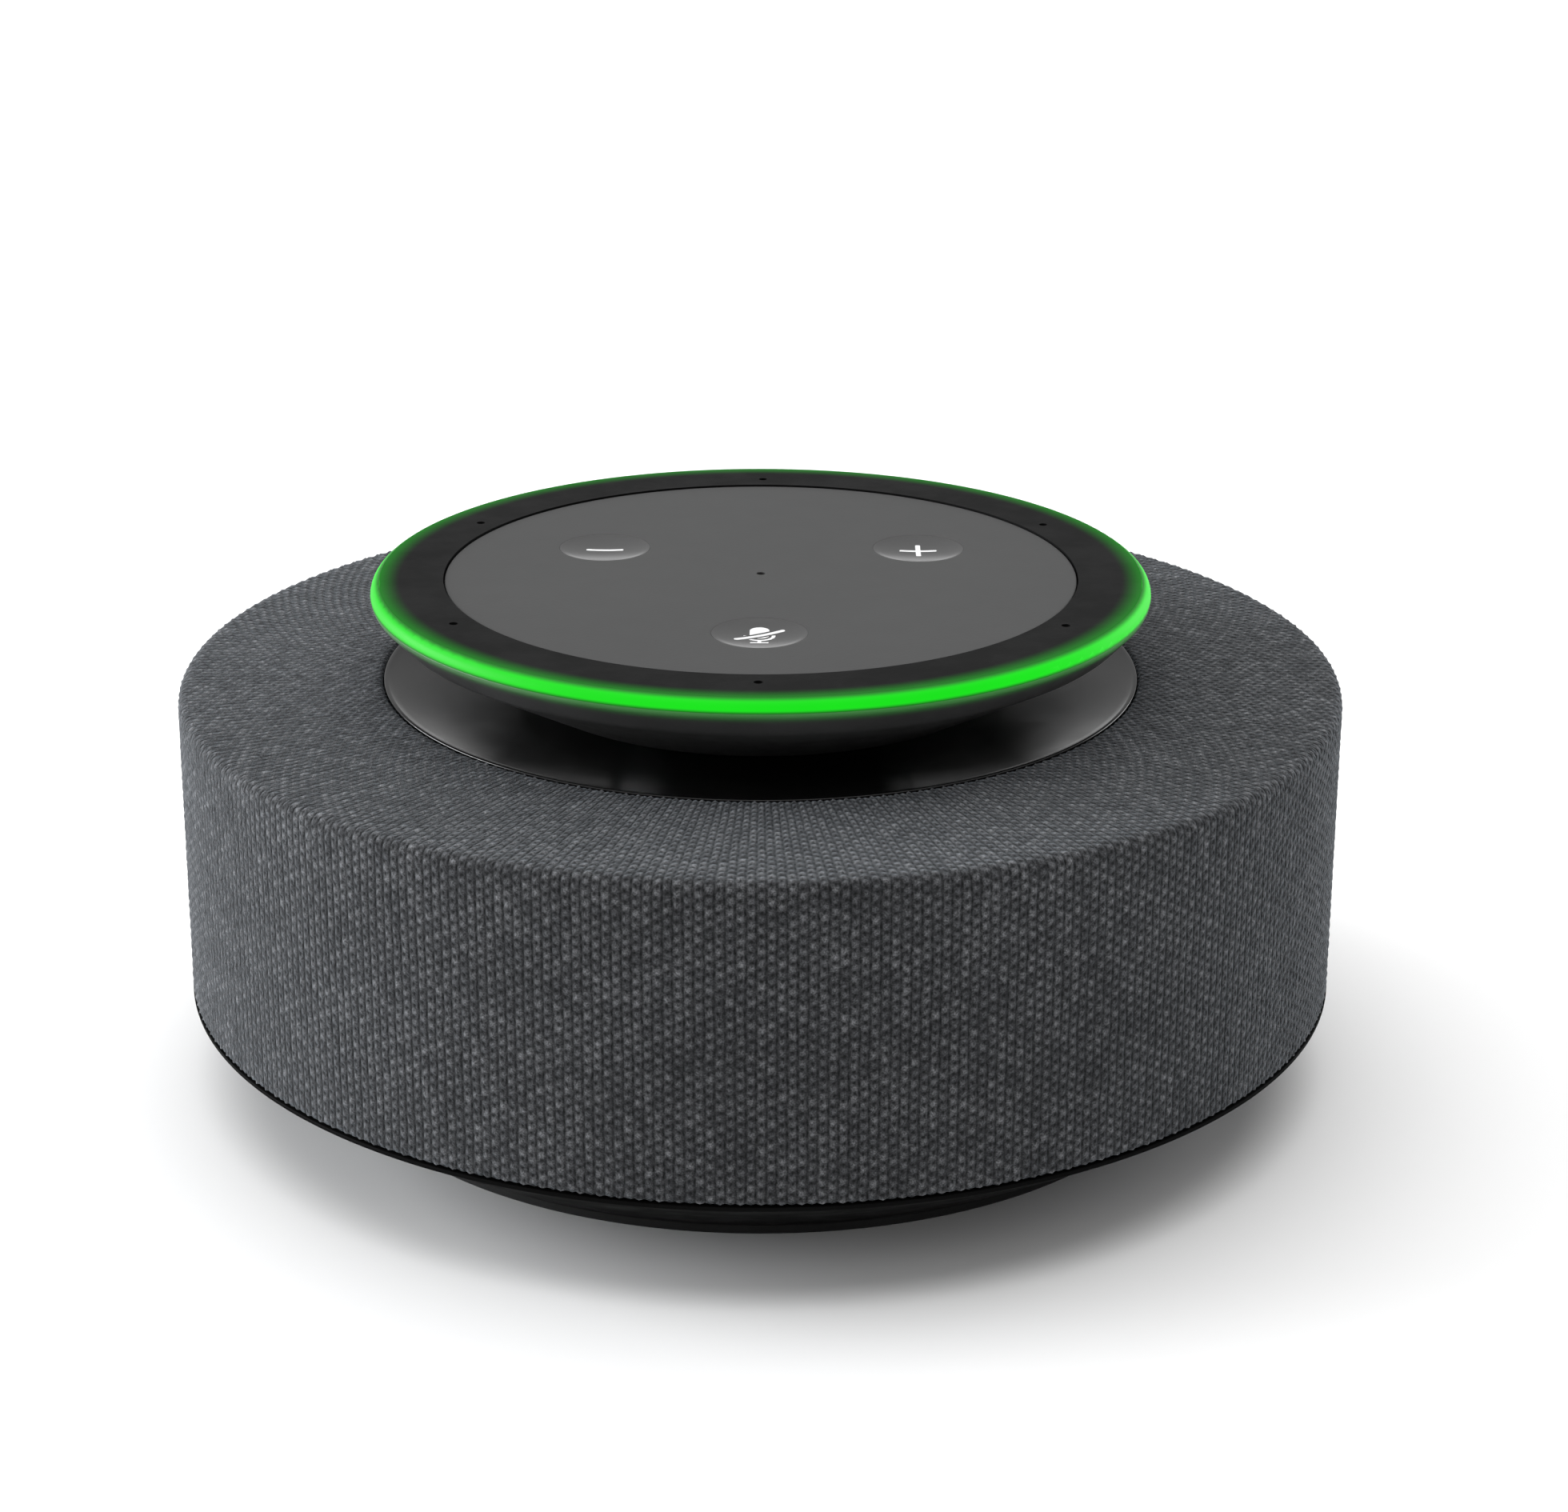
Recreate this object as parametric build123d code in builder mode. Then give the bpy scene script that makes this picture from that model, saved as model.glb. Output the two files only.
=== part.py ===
from build123d import *

import os
from math import cos, radians, sin

# A round smart home hub: a fabric-covered body on a rubber foot, with a glossy
# dish set into its top and a control disc held above the dish on a short neck.
# Millimetres, +Z up, front towards -Y, ports towards +Y. The origin is the
# middle of the face that the hub stands on.

os.makedirs("parts", exist_ok=True)

# ---------------------------------------------------------------- driving sizes
# Body
body_r = 80.0
body_top = 57.1
hem_z = 14.3
cloth_t = 1.15
cloth_gap = 0.05
shell_t = 1.5
rim_round = 1.4

# Base
foot_r = 59.7
foot_in_r = 50.0
foot_t = 1.6
tray_t = 2.0
lip_low_z = 13.75
tray_top = hem_z - 0.05

# Dish
dish_r = 52.0
dish_top = 57.0
dish_floor = 53.6
dish_flat_r = 24.0
dish_t = 2.0
dish_neck_r = 20.2

# Control disc
head_top = 70.8
glow_r = 53.45
glow_in_r = 52.2
glow_low_z = 68.95
crease_r, crease_z = 50.2, 65.0
hub_r, hub_z = 33.0, 55.9
hub_t = 1.5
plate_r = 43.3
plate_top = 70.6
plate_t = 1.2
bezel_in_r = 43.5

# Keys
key_r = 6.4
key_gap = 0.1
key_dish = 0.45
key_spots = {"down": (-22.0, 12.1), "up": (22.0, 12.1), "mute": (0.0, -26.0)}
key_flange_r = 7.3
icon_span = 5.2
icon_stroke = 0.7

# Microphones, lights and the board that carries them
mic_r = 46.5
mic_hole_r = 0.6
mic_start = 30
mic_board_r = 49.0
mic_board_low = 66.0
mic_board_t = 1.0
led_count = 24
head_screw_r = 40.5

# Neck
neck_r = 20.0
neck_thread_r = 16.0
neck_bore_r = 14.0
neck_flange_r = 27.0
neck_screw_r = 23.5

# Speaker box and driver, which faces down
cup_r = 58.0
cup_t = 2.0
cup_low = 21.0
baffle_t = 3.0
cup_high = 42.6
gasket_t = 0.4
lid_t = 1.6
mouth_r = 28.5
cone_edge_r = 24.8
coil_r = 8.9
coil_wall = 0.55
base_screw_r = 54.8
lid_screw_r = 53.5
post_ring_r = 66.0

# Boards
board_r = 44.0
board_low = 46.4
board_t = 1.2
board_screw_r = 40.0
io_x, io_y0, io_y1 = 16.0, 59.5, 75.0
jack_x, jack_z, jack_face_y = -9.0, 30.45, 76.4
usb_x = 9.0

# Port panel
panel_w = 34.0
panel_low, panel_high = 22.0, 38.0
panel_gap = 0.1

# ---------------------------------------------------------------- worked-out sizes
shell_r = body_r - cloth_t - cloth_gap
shell_top = body_top - cloth_t - cloth_gap
shell_in_r = shell_r - shell_t
seat_top = 54.6
seat_low = 53.4
board_top = board_low + board_t
lid_low = cup_high + gasket_t
lid_top = lid_low + lid_t
flange_low = cup_low + baffle_t + 0.8
mic_board_top = mic_board_low + mic_board_t
plate_low = plate_top - plate_t
key_ball_r = (key_r**2 + key_dish**2) / (2 * key_dish)


def key_plane(name, height):
    """Level plane at a height, with its origin on one key's axis."""
    x, y = key_spots[name]
    return Plane(origin=(x, y, height))


# ================================================================ base
with BuildPart() as foot_ring:
    with BuildSketch():
        Circle(foot_r)
        Circle(foot_in_r, mode=Mode.SUBTRACT)
    extrude(amount=foot_t)
    chamfer(foot_ring.edges().group_by(Axis.Z)[0], 0.4)
foot_ring.part.label = "foot_ring"
export_step(foot_ring.part, "parts/foot_ring.step")

post_r = 4.0
rib_r0, rib_r1, rib_top = 75.6, 77.15, 17.0
with BuildPart() as base_tray:
    # Floor, undercut flank, thin lip and the rib that locates the shell.
    with BuildSketch(Plane.XZ):
        Polygon(
            (0, foot_t),
            (foot_r + 0.5, foot_t),
            (body_r - 0.6, lip_low_z - 0.4),
            (body_r, lip_low_z),
            (body_r, tray_top),
            (rib_r1, tray_top),
            (rib_r1, rib_top),
            (rib_r0, rib_top),
            (rib_r0, lip_low_z - 0.4),
            (foot_r - 0.3, foot_t + tray_t),
            (0, foot_t + tray_t),
            align=None,
        )
    revolve(axis=Axis.Z)
    # Four posts that carry the speaker box, each with a screw from below.
    with BuildSketch(Plane.XY.offset(foot_t)):
        with PolarLocations(base_screw_r, 4, 45):
            Circle(post_r)
    extrude(amount=cup_low - foot_t)
    with BuildSketch(Plane.XY.offset(foot_t)):
        with PolarLocations(base_screw_r, 4, 45):
            Circle(1.6)
    extrude(amount=cup_low - foot_t, mode=Mode.SUBTRACT)
    with BuildSketch(Plane.XY.offset(foot_t)):
        with PolarLocations(base_screw_r, 4, 45):
            Circle(3.0)
    extrude(amount=1.8, mode=Mode.SUBTRACT)
base_tray.part.label = "base_tray"
export_step(base_tray.part, "parts/base_tray.step")

with BuildPart() as base_screws:
    with BuildSketch(Plane.XY.offset(foot_t + 0.15)):
        with PolarLocations(base_screw_r, 4, 45):
            Circle(2.8)
            RegularPolygon(1.2, 6, mode=Mode.SUBTRACT)
    extrude(amount=1.65)
    with BuildSketch(Plane.XY.offset(foot_t + 1.0)):
        with PolarLocations(base_screw_r, 4, 45):
            Circle(1.45)
    extrude(amount=26.4)
base_screws.part.label = "base_screws"
export_step(base_screws.part, "parts/base_screws.step")

deflector_r, deflector_tip_r, deflector_top = 27.0, 1.5, 13.0
deflector_low = foot_t + tray_t
with BuildPart() as sound_deflector:
    with BuildSketch(Plane.XZ):
        with BuildLine():
            Polyline(
                (deflector_tip_r, deflector_top),
                (0, deflector_top),
                (0, deflector_low),
                (deflector_r, deflector_low),
                (deflector_r, deflector_low + 0.8),
            )
            ThreePointArc(
                (deflector_r, deflector_low + 0.8),
                (12, deflector_low + 3),
                (deflector_tip_r, deflector_top),
            )
        make_face()
    revolve(axis=Axis.Z)
sound_deflector.part.label = "sound_deflector"
export_step(sound_deflector.part, "parts/sound_deflector.step")

# ================================================================ speaker box
with BuildPart() as speaker_cup:
    with BuildSketch(Plane.XZ):
        Polygon(
            (mouth_r, cup_low),
            (cup_r, cup_low),
            (cup_r, cup_high),
            (cup_r - cup_t, cup_high),
            (cup_r - cup_t, cup_low + baffle_t),
            (mouth_r, cup_low + baffle_t),
            align=None,
        )
    revolve(axis=Axis.Z)
    # Six ears for the shell's posts, and the shelf for the port board.
    with BuildSketch(Plane.XY.offset(cup_low)):
        with PolarLocations(post_ring_r - 5, 6):
            SlotCenterToCenter(10, 8)
        with Locations((0, (cup_r - 2 + io_y1) / 2)):
            Rectangle(2 * io_x + 2, io_y1 - cup_r + 2)
        Circle(cup_r - cup_t, mode=Mode.SUBTRACT)
    extrude(amount=baffle_t)
    # Bosses for the base screws and for the lid.
    with BuildSketch(Plane.XY.offset(cup_low + baffle_t)):
        with PolarLocations(base_screw_r - 1, 4, 45):
            Circle(3.6)
        Circle(cup_r - 0.5, mode=Mode.INTERSECT)
    extrude(amount=6)
    with BuildSketch(Plane.XY.offset(cup_low + baffle_t)):
        with PolarLocations(lid_screw_r, 6):
            Circle(3.2)
    extrude(amount=cup_high - cup_low - baffle_t)
    with BuildSketch(Plane.XY.offset(cup_low)):
        with PolarLocations(base_screw_r, 4, 45):
            Circle(1.5)
    extrude(amount=8.4, mode=Mode.SUBTRACT)
    with BuildSketch(Plane.XY.offset(cup_low)):
        with PolarLocations(post_ring_r, 6):
            Circle(1.4)
    extrude(amount=baffle_t, mode=Mode.SUBTRACT)
    with BuildSketch(Plane.XY.offset(cup_high)):
        with PolarLocations(lid_screw_r, 6):
            Circle(0.95)
    extrude(amount=-8, mode=Mode.SUBTRACT)
    with BuildSketch(Plane.XY.offset(cup_low + baffle_t)):
        with PolarLocations(31.0, 4, 45):
            Circle(0.85)
    extrude(amount=-2.4, mode=Mode.SUBTRACT)
speaker_cup.part.label = "speaker_cup"
export_step(speaker_cup.part, "parts/speaker_cup.step")

with BuildPart() as lid_gasket:
    with BuildSketch(Plane.XY.offset(cup_high)):
        Circle(cup_r)
        Circle(cup_r - cup_t, mode=Mode.SUBTRACT)
    extrude(amount=gasket_t)
lid_gasket.part.label = "lid_gasket"
export_step(lid_gasket.part, "parts/lid_gasket.step")

lead_x, lead_y = 38.0, 3.0
with BuildPart() as speaker_lid:
    with BuildSketch(Plane.XY.offset(lid_low)):
        Circle(cup_r)
        with PolarLocations(lid_screw_r, 6):
            Circle(1.1, mode=Mode.SUBTRACT)
        with Locations((lead_x, lead_y), (lead_x, -lead_y)):
            Circle(0.6, mode=Mode.SUBTRACT)
    extrude(amount=lid_t)
speaker_lid.part.label = "speaker_lid"
export_step(speaker_lid.part, "parts/speaker_lid.step")

with BuildPart() as lid_screws:
    with BuildSketch(Plane.XY.offset(lid_top)):
        with PolarLocations(lid_screw_r, 6):
            Circle(2.2)
    extrude(amount=1.4)
    with BuildSketch(Plane.XY.offset(lid_top)):
        with PolarLocations(lid_screw_r, 6):
            Circle(0.9)
    extrude(amount=-9)
    with BuildSketch(Plane.XY.offset(lid_top + 1.4)):
        with PolarLocations(lid_screw_r, 6):
            Rectangle(2.4, 0.5)
            Rectangle(0.5, 2.4)
    extrude(amount=-0.7, mode=Mode.SUBTRACT)
lid_screws.part.label = "lid_screws"
export_step(lid_screws.part, "parts/lid_screws.step")

# ================================================================ driver
basket_r = 33.0
basket_top = 34.4
washer_t, magnet_t, yoke_t = 2.0, 4.0, 2.0
washer_top = basket_top + washer_t
magnet_top = washer_top + magnet_t
frame_mouth_r = 27.9
driver_screw_r = 31.0

with BuildPart() as driver_gasket:
    with BuildSketch(Plane.XY.offset(cup_low + baffle_t)):
        Circle(basket_r)
        Circle(mouth_r + 0.1, mode=Mode.SUBTRACT)
        with PolarLocations(driver_screw_r, 4, 45):
            Circle(1.1, mode=Mode.SUBTRACT)
    extrude(amount=flange_low - cup_low - baffle_t)
driver_gasket.part.label = "driver_gasket"
export_step(driver_gasket.part, "parts/driver_gasket.step")

with BuildPart() as driver_frame:
    with BuildSketch(Plane.XZ):
        Polygon(
            (frame_mouth_r, flange_low),
            (basket_r, flange_low),
            (basket_r, flange_low + 1.2),
            (29.4, flange_low + 1.2),
            (19.5, basket_top - 1.2),
            (19.5, basket_top),
            (11.0, basket_top),
            (11.0, basket_top - 1.0),
            (18.6, basket_top - 1.0),
            (frame_mouth_r, flange_low + 1.1),
            align=None,
        )
    revolve(axis=Axis.Z)
    # Four windows in the cone of the basket.
    for angle in (0, 90, 180, 270):
        outwards = Vector(1, 0, 0).rotate(Axis.Z, angle)
        window_plane = Plane(origin=(0, 0, flange_low + 4.4), x_dir=(0, 0, 1), z_dir=outwards)
        with BuildSketch(window_plane):
            RectangleRounded(4.2, 22, 1.5)
    extrude(amount=basket_r, mode=Mode.SUBTRACT)
    with BuildSketch(Plane.XY.offset(flange_low)):
        with PolarLocations(driver_screw_r, 4, 45):
            Circle(1.0)
    extrude(amount=1.2, mode=Mode.SUBTRACT)
driver_frame.part.label = "driver_frame"
export_step(driver_frame.part, "parts/driver_frame.step")

with BuildPart() as driver_screws:
    with BuildSketch(Plane.XY.offset(flange_low + 1.2)):
        with PolarLocations(driver_screw_r, 4, 45):
            Circle(1.6)
    extrude(amount=1.2)
    with BuildSketch(Plane.XY.offset(flange_low + 1.2)):
        with PolarLocations(driver_screw_r, 4, 45):
            Circle(0.8)
    extrude(amount=-4)
driver_screws.part.label = "driver_screws"
export_step(driver_screws.part, "parts/driver_screws.step")

with BuildPart() as driver_washer:
    with BuildSketch(Plane.XY.offset(basket_top)):
        Circle(17.5)
        Circle(coil_r + 0.4, mode=Mode.SUBTRACT)
    extrude(amount=washer_t)
driver_washer.part.label = "driver_washer"
export_step(driver_washer.part, "parts/driver_washer.step")

with BuildPart() as driver_magnet:
    with BuildSketch(Plane.XY.offset(washer_top)):
        Circle(19.0)
        Circle(11.0, mode=Mode.SUBTRACT)
    extrude(amount=magnet_t)
    fillet(driver_magnet.edges().filter_by(GeomType.CIRCLE).sort_by(SortBy.RADIUS)[-2:], 0.5)
driver_magnet.part.label = "driver_magnet"
export_step(driver_magnet.part, "parts/driver_magnet.step")

pole_r = coil_r - coil_wall - 0.45
with BuildPart() as driver_yoke:
    with BuildSketch(Plane.XZ):
        Polygon(
            (2.0, basket_top),
            (pole_r, basket_top),
            (pole_r, magnet_top),
            (18.0, magnet_top),
            (18.0, magnet_top + yoke_t),
            (2.0, magnet_top + yoke_t),
            align=None,
        )
    revolve(axis=Axis.Z)
driver_yoke.part.label = "driver_yoke"
export_step(driver_yoke.part, "parts/driver_yoke.step")

coil_low = 30.2
with BuildPart() as voice_coil:
    with BuildSketch(Plane.XY.offset(coil_low)):
        Circle(coil_r)
        Circle(coil_r - coil_wall, mode=Mode.SUBTRACT)
    extrude(amount=7.2)
voice_coil.part.label = "voice_coil"
export_step(voice_coil.part, "parts/voice_coil.step")

# Thin paper cone, with a flat lip that carries the surround.
with BuildPart() as driver_cone:
    with BuildSketch(Plane.XZ):
        Polygon(
            (cone_edge_r, flange_low),
            (cone_edge_r, flange_low + 0.4),
            (22.6, flange_low + 0.4),
            (coil_r + 0.05, coil_low + 0.8),
            (coil_r + 0.05, coil_low + 0.2),
            (22.4, flange_low),
            align=None,
        )
    revolve(axis=Axis.Z)
driver_cone.part.label = "driver_cone"
export_step(driver_cone.part, "parts/driver_cone.step")

cap_r, cap_depth, cap_t = 8.8, 3.0, 0.35
cap_ball_r = (cap_r**2 + cap_depth**2) / (2 * cap_depth)
with BuildPart() as dust_cap:
    with Locations((0, 0, coil_low - cap_depth + cap_ball_r)):
        Sphere(cap_ball_r)
        Sphere(cap_ball_r - cap_t, mode=Mode.SUBTRACT)
    split(bisect_by=Plane.XY.offset(coil_low), keep=Keep.BOTTOM)
dust_cap.part.label = "dust_cap"
export_step(dust_cap.part, "parts/dust_cap.step")

# Rubber half-roll between the cone's lip and the basket.
roll_mid_r = (cone_edge_r + frame_mouth_r) / 2
roll_out = frame_mouth_r + 0.35 - roll_mid_r
roll_in = roll_out - 0.35
with BuildPart() as driver_surround:
    with BuildSketch(Plane.XZ):
        with Locations((roll_mid_r, flange_low)):
            Circle(roll_out)
            Circle(roll_in, mode=Mode.SUBTRACT)
        with Locations((roll_mid_r, flange_low)):
            Rectangle(8, 4, align=(Align.CENTER, Align.MAX), mode=Mode.INTERSECT)
    revolve(axis=Axis.Z)
driver_surround.part.label = "driver_surround"
export_step(driver_surround.part, "parts/driver_surround.step")

with BuildPart() as driver_spider:
    with BuildSketch(Plane.XY.offset(31.8)):
        Circle(19.6)
        Circle(coil_r + 0.1, mode=Mode.SUBTRACT)
    extrude(amount=0.4)
driver_spider.part.label = "driver_spider"
export_step(driver_spider.part, "parts/driver_spider.step")

terminal_x, terminal_z = 24.0, 31.5
with BuildPart() as driver_terminals:
    with BuildSketch(Plane.XY.offset(terminal_z - 1.5)):
        with Locations((terminal_x + 1.5, 0)):
            Rectangle(3, 12)
    extrude(amount=3)
    with BuildSketch(Plane.XY.offset(terminal_z - 0.3)):
        with Locations((terminal_x + 4.5, lead_y), (terminal_x + 4.5, -lead_y)):
            Rectangle(3.4, 2)
    extrude(amount=0.6)
driver_terminals.part.label = "driver_terminals"
export_step(driver_terminals.part, "parts/driver_terminals.step")

lead_start_x = terminal_x + 6.2
lead_r = 0.5
lead_wires = []
for side in (1, -1):
    with BuildPart() as speaker_lead:
        with BuildLine() as lead_path:
            FilletPolyline(
                (lead_start_x, side * lead_y, terminal_z),
                (lead_x, side * lead_y, terminal_z),
                (lead_x, side * lead_y, board_low - 1.4),
                radius=3.5,
            )
        with BuildSketch(Plane(origin=(lead_start_x, side * lead_y, terminal_z), z_dir=(1, 0, 0))):
            Circle(lead_r)
        sweep()
    lead_wires.append(speaker_lead.part)
with BuildPart() as speaker_leads:
    add(lead_wires)
speaker_leads.part.label = "speaker_leads"
export_step(speaker_leads.part, "parts/speaker_leads.step")

# ================================================================ fabric and its shell
slot_columns = 36
slot_rows = (22.5, 33.0, 43.5)
slot_height, slot_width = 8.0, 4.0
column_angles = [i * 360 / slot_columns for i in range(slot_columns)]
open_angles = [a for a in column_angles if abs(a - 90) > 16]
shell_post_r = 3.0
with BuildPart() as grille_shell:
    with BuildSketch(Plane.XZ):
        Polygon(
            (47.5, seat_low),
            (53.8, seat_low),
            (53.8, shell_top - 1.6),
            (shell_in_r, shell_top - 1.6),
            (shell_in_r, hem_z),
            (shell_r, hem_z),
            (shell_r, shell_top),
            (52.6, shell_top),
            (52.6, seat_top),
            (47.5, seat_top),
            align=None,
        )
    revolve(axis=Axis.Z)
    # Upright slots that let the sound out under the fabric.
    for angle in open_angles:
        outwards = Vector(1, 0, 0).rotate(Axis.Z, angle)
        with BuildSketch(Plane(origin=(0, 0, 0), x_dir=(0, 0, 1), z_dir=outwards)):
            with Locations(*[(row, 0) for row in slot_rows]):
                SlotOverall(slot_height, slot_width)
    extrude(amount=body_r, mode=Mode.SUBTRACT)
    # Opening for the port panel.
    with BuildSketch(Plane.XZ.offset(-body_r)):
        with Locations((0, (panel_low + panel_high) / 2)):
            Rectangle(panel_w + 2 * panel_gap, panel_high - panel_low + 2 * panel_gap)
    extrude(amount=10, mode=Mode.SUBTRACT)
    # Six posts that stand on the speaker box.
    with BuildSketch(Plane.XY.offset(cup_low + baffle_t)):
        with PolarLocations(post_ring_r, 6):
            Circle(shell_post_r)
            Circle(1.25, mode=Mode.SUBTRACT)
    extrude(amount=shell_top - 1.6 - cup_low - baffle_t)
grille_shell.part.label = "grille_shell"
export_step(grille_shell.part, "parts/grille_shell.step")

with BuildPart() as shell_screws:
    with BuildSketch(Plane.XY.offset(cup_low)):
        with PolarLocations(post_ring_r, 6):
            Circle(2.6)
    extrude(amount=-1.8)
    with BuildSketch(Plane.XY.offset(cup_low)):
        with PolarLocations(post_ring_r, 6):
            Circle(1.2)
    extrude(amount=12)
shell_screws.part.label = "shell_screws"
export_step(shell_screws.part, "parts/shell_screws.step")

with BuildPart() as fabric_sleeve:
    with BuildSketch(Plane.XZ):
        Polygon(
            (dish_r + 0.1, body_top - cloth_t),
            (body_r - cloth_t, body_top - cloth_t),
            (body_r - cloth_t, hem_z),
            (body_r, hem_z),
            (body_r, body_top),
            (dish_r + 0.1, body_top),
            align=None,
        )
    revolve(axis=Axis.Z)
    top_circles = fabric_sleeve.edges().filter_by(GeomType.CIRCLE).group_by(Axis.Z)[-1]
    fillet(top_circles.sort_by(SortBy.RADIUS)[-1], rim_round)
    with BuildSketch(Plane.XZ.offset(-body_r - 1)):
        with Locations((0, (panel_low + panel_high) / 2)):
            Rectangle(panel_w + 2 * panel_gap, panel_high - panel_low + 2 * panel_gap)
    extrude(amount=12, mode=Mode.SUBTRACT)
fabric_sleeve.part.label = "fabric_sleeve"
export_step(fabric_sleeve.part, "parts/fabric_sleeve.step")

antenna_low, antenna_high, antenna_arc = 49.4, 53.4, 50
with BuildPart() as antennas:
    for start in (-antenna_arc / 2, 180 - antenna_arc / 2):
        with BuildSketch(Plane.XZ.rotated((0, 0, start))):
            with Locations((shell_in_r - 0.2, (antenna_low + antenna_high) / 2)):
                Rectangle(0.25, antenna_high - antenna_low)
    revolve(axis=Axis.Z, revolution_arc=antenna_arc)
antennas.part.label = "antennas"
export_step(antennas.part, "parts/antennas.step")

# ================================================================ ports
panel_floor_y = 77.7
panel_back_r = 76.5
panel_mid_z = (panel_low + panel_high) / 2
usb_z = board_low - 19.55
with BuildPart() as port_panel:
    # The face follows the body, and a thin flange backs it inside the shell.
    with BuildSketch(Plane.XY.offset(panel_low)):
        Circle(body_r - 0.1)
        Circle(panel_back_r, mode=Mode.SUBTRACT)
        with Locations((0, body_r)):
            Rectangle(panel_w, 10, mode=Mode.INTERSECT)
    extrude(amount=panel_high - panel_low)
    with BuildSketch(Plane.XY.offset(panel_low - 1.5)):
        Circle(shell_in_r - 0.05)
        Circle(panel_back_r, mode=Mode.SUBTRACT)
        with Locations((0, body_r)):
            Rectangle(panel_w + 3, 10, mode=Mode.INTERSECT)
    extrude(amount=panel_high - panel_low + 3)
    # Room behind the panel for the sockets, a shallow recess, and two openings.
    with BuildSketch(Plane.XZ.offset(-jack_face_y - 0.05)):
        with Locations((0, panel_mid_z)):
            Rectangle(2 * io_x - 2, panel_high - panel_low - 2)
    extrude(amount=5, mode=Mode.SUBTRACT)
    with BuildSketch(Plane.XZ.offset(-panel_floor_y)):
        with Locations((0, panel_mid_z)):
            RectangleRounded(panel_w - 4, panel_high - panel_low - 3, 3)
    extrude(amount=-5, mode=Mode.SUBTRACT)
    with BuildSketch(Plane.XZ.offset(-panel_floor_y)):
        with Locations((jack_x, jack_z)):
            Circle(4.2)
        with Locations((usb_x, usb_z)):
            SlotOverall(9.6, 3.9)
    extrude(amount=5, both=True, mode=Mode.SUBTRACT)
port_panel.part.label = "port_panel"
export_step(port_panel.part, "parts/port_panel.step")

io_low = cup_low + baffle_t
io_top = io_low + board_t
with BuildPart() as io_board:
    with BuildSketch(Plane.XY.offset(io_low)):
        with Locations((0, (io_y0 + io_y1) / 2)):
            RectangleRounded(2 * io_x, io_y1 - io_y0, 1)
    extrude(amount=board_t)
io_board.part.label = "io_board"
export_step(io_board.part, "parts/io_board.step")

# Barrel jack: a box with a blind bore and a centre pin.
jack_w, jack_h, jack_depth = 9.0, 2 * (jack_z - io_top), 13.4
with BuildPart() as power_inlet:
    with BuildSketch(Plane.XZ.offset(-jack_face_y)):
        with Locations((jack_x, jack_z)):
            RectangleRounded(jack_w, jack_h, 0.6)
    extrude(amount=jack_depth)
    with BuildSketch(Plane.XZ.offset(-jack_face_y)):
        with Locations((jack_x, jack_z)):
            Circle(3.15)
            Circle(1.05, mode=Mode.SUBTRACT)
    extrude(amount=9.5, mode=Mode.SUBTRACT)
power_inlet.part.label = "power_inlet"
export_step(power_inlet.part, "parts/power_inlet.step")

with BuildPart() as usb_port:
    with BuildSketch(Plane.XZ.offset(-jack_face_y)):
        with Locations((usb_x, usb_z)):
            SlotOverall(9.0, 3.26)
    extrude(amount=7.4)
    with BuildSketch(Plane.XZ.offset(-jack_face_y)):
        with Locations((usb_x, usb_z)):
            SlotOverall(8.4, 2.6)
            Rectangle(6.7, 0.7, mode=Mode.SUBTRACT)
    extrude(amount=6.2, mode=Mode.SUBTRACT)
usb_port.part.label = "usb_port"
export_step(usb_port.part, "parts/usb_port.step")

# ================================================================ main board
with BuildPart() as heat_spreader:
    with BuildSketch(Plane.XY.offset(lid_top)):
        Circle(30)
    extrude(amount=0.8)
heat_spreader.part.label = "heat_spreader"
export_step(heat_spreader.part, "parts/heat_spreader.step")

with BuildPart() as thermal_pad:
    with BuildSketch(Plane.XY.offset(lid_top + 0.8)):
        Rectangle(14, 14)
    extrude(amount=0.3)
thermal_pad.part.label = "thermal_pad"
export_step(thermal_pad.part, "parts/thermal_pad.step")

with BuildPart() as main_board:
    with BuildSketch(Plane.XY.offset(board_low)):
        Circle(board_r)
        with PolarLocations(board_screw_r, 4, 45):
            Circle(1.1, mode=Mode.SUBTRACT)
    extrude(amount=board_t)
main_board.part.label = "main_board"
export_step(main_board.part, "parts/main_board.step")

with BuildPart() as board_chips:
    with BuildSketch(Plane.XY.offset(lid_top + 1.1)):
        Rectangle(14, 14)
    extrude(amount=board_low - lid_top - 1.1)
    with BuildSketch(Plane.XY.offset(board_top)):
        with Locations((28, 14), (28, -14), (-12, 30)):
            Rectangle(8, 8)
        with Locations((14, 30), (30, 0)):
            Rectangle(5, 6)
    extrude(amount=1.0)
board_chips.part.label = "board_chips"
export_step(board_chips.part, "parts/board_chips.step")

with BuildPart() as shield_cans:
    with BuildSketch(Plane.XY.offset(board_top)):
        with Locations((-31, 0)):
            Rectangle(12, 22)
        with Locations((0, -31)):
            Rectangle(22, 12)
    extrude(amount=1.8)
    with BuildSketch(Plane.XY.offset(board_top)):
        with Locations((-31, 0)):
            Rectangle(11.6, 21.6)
        with Locations((0, -31)):
            Rectangle(21.6, 11.6)
    extrude(amount=1.6, mode=Mode.SUBTRACT)
shield_cans.part.label = "shield_cans"
export_step(shield_cans.part, "parts/shield_cans.step")

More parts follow.
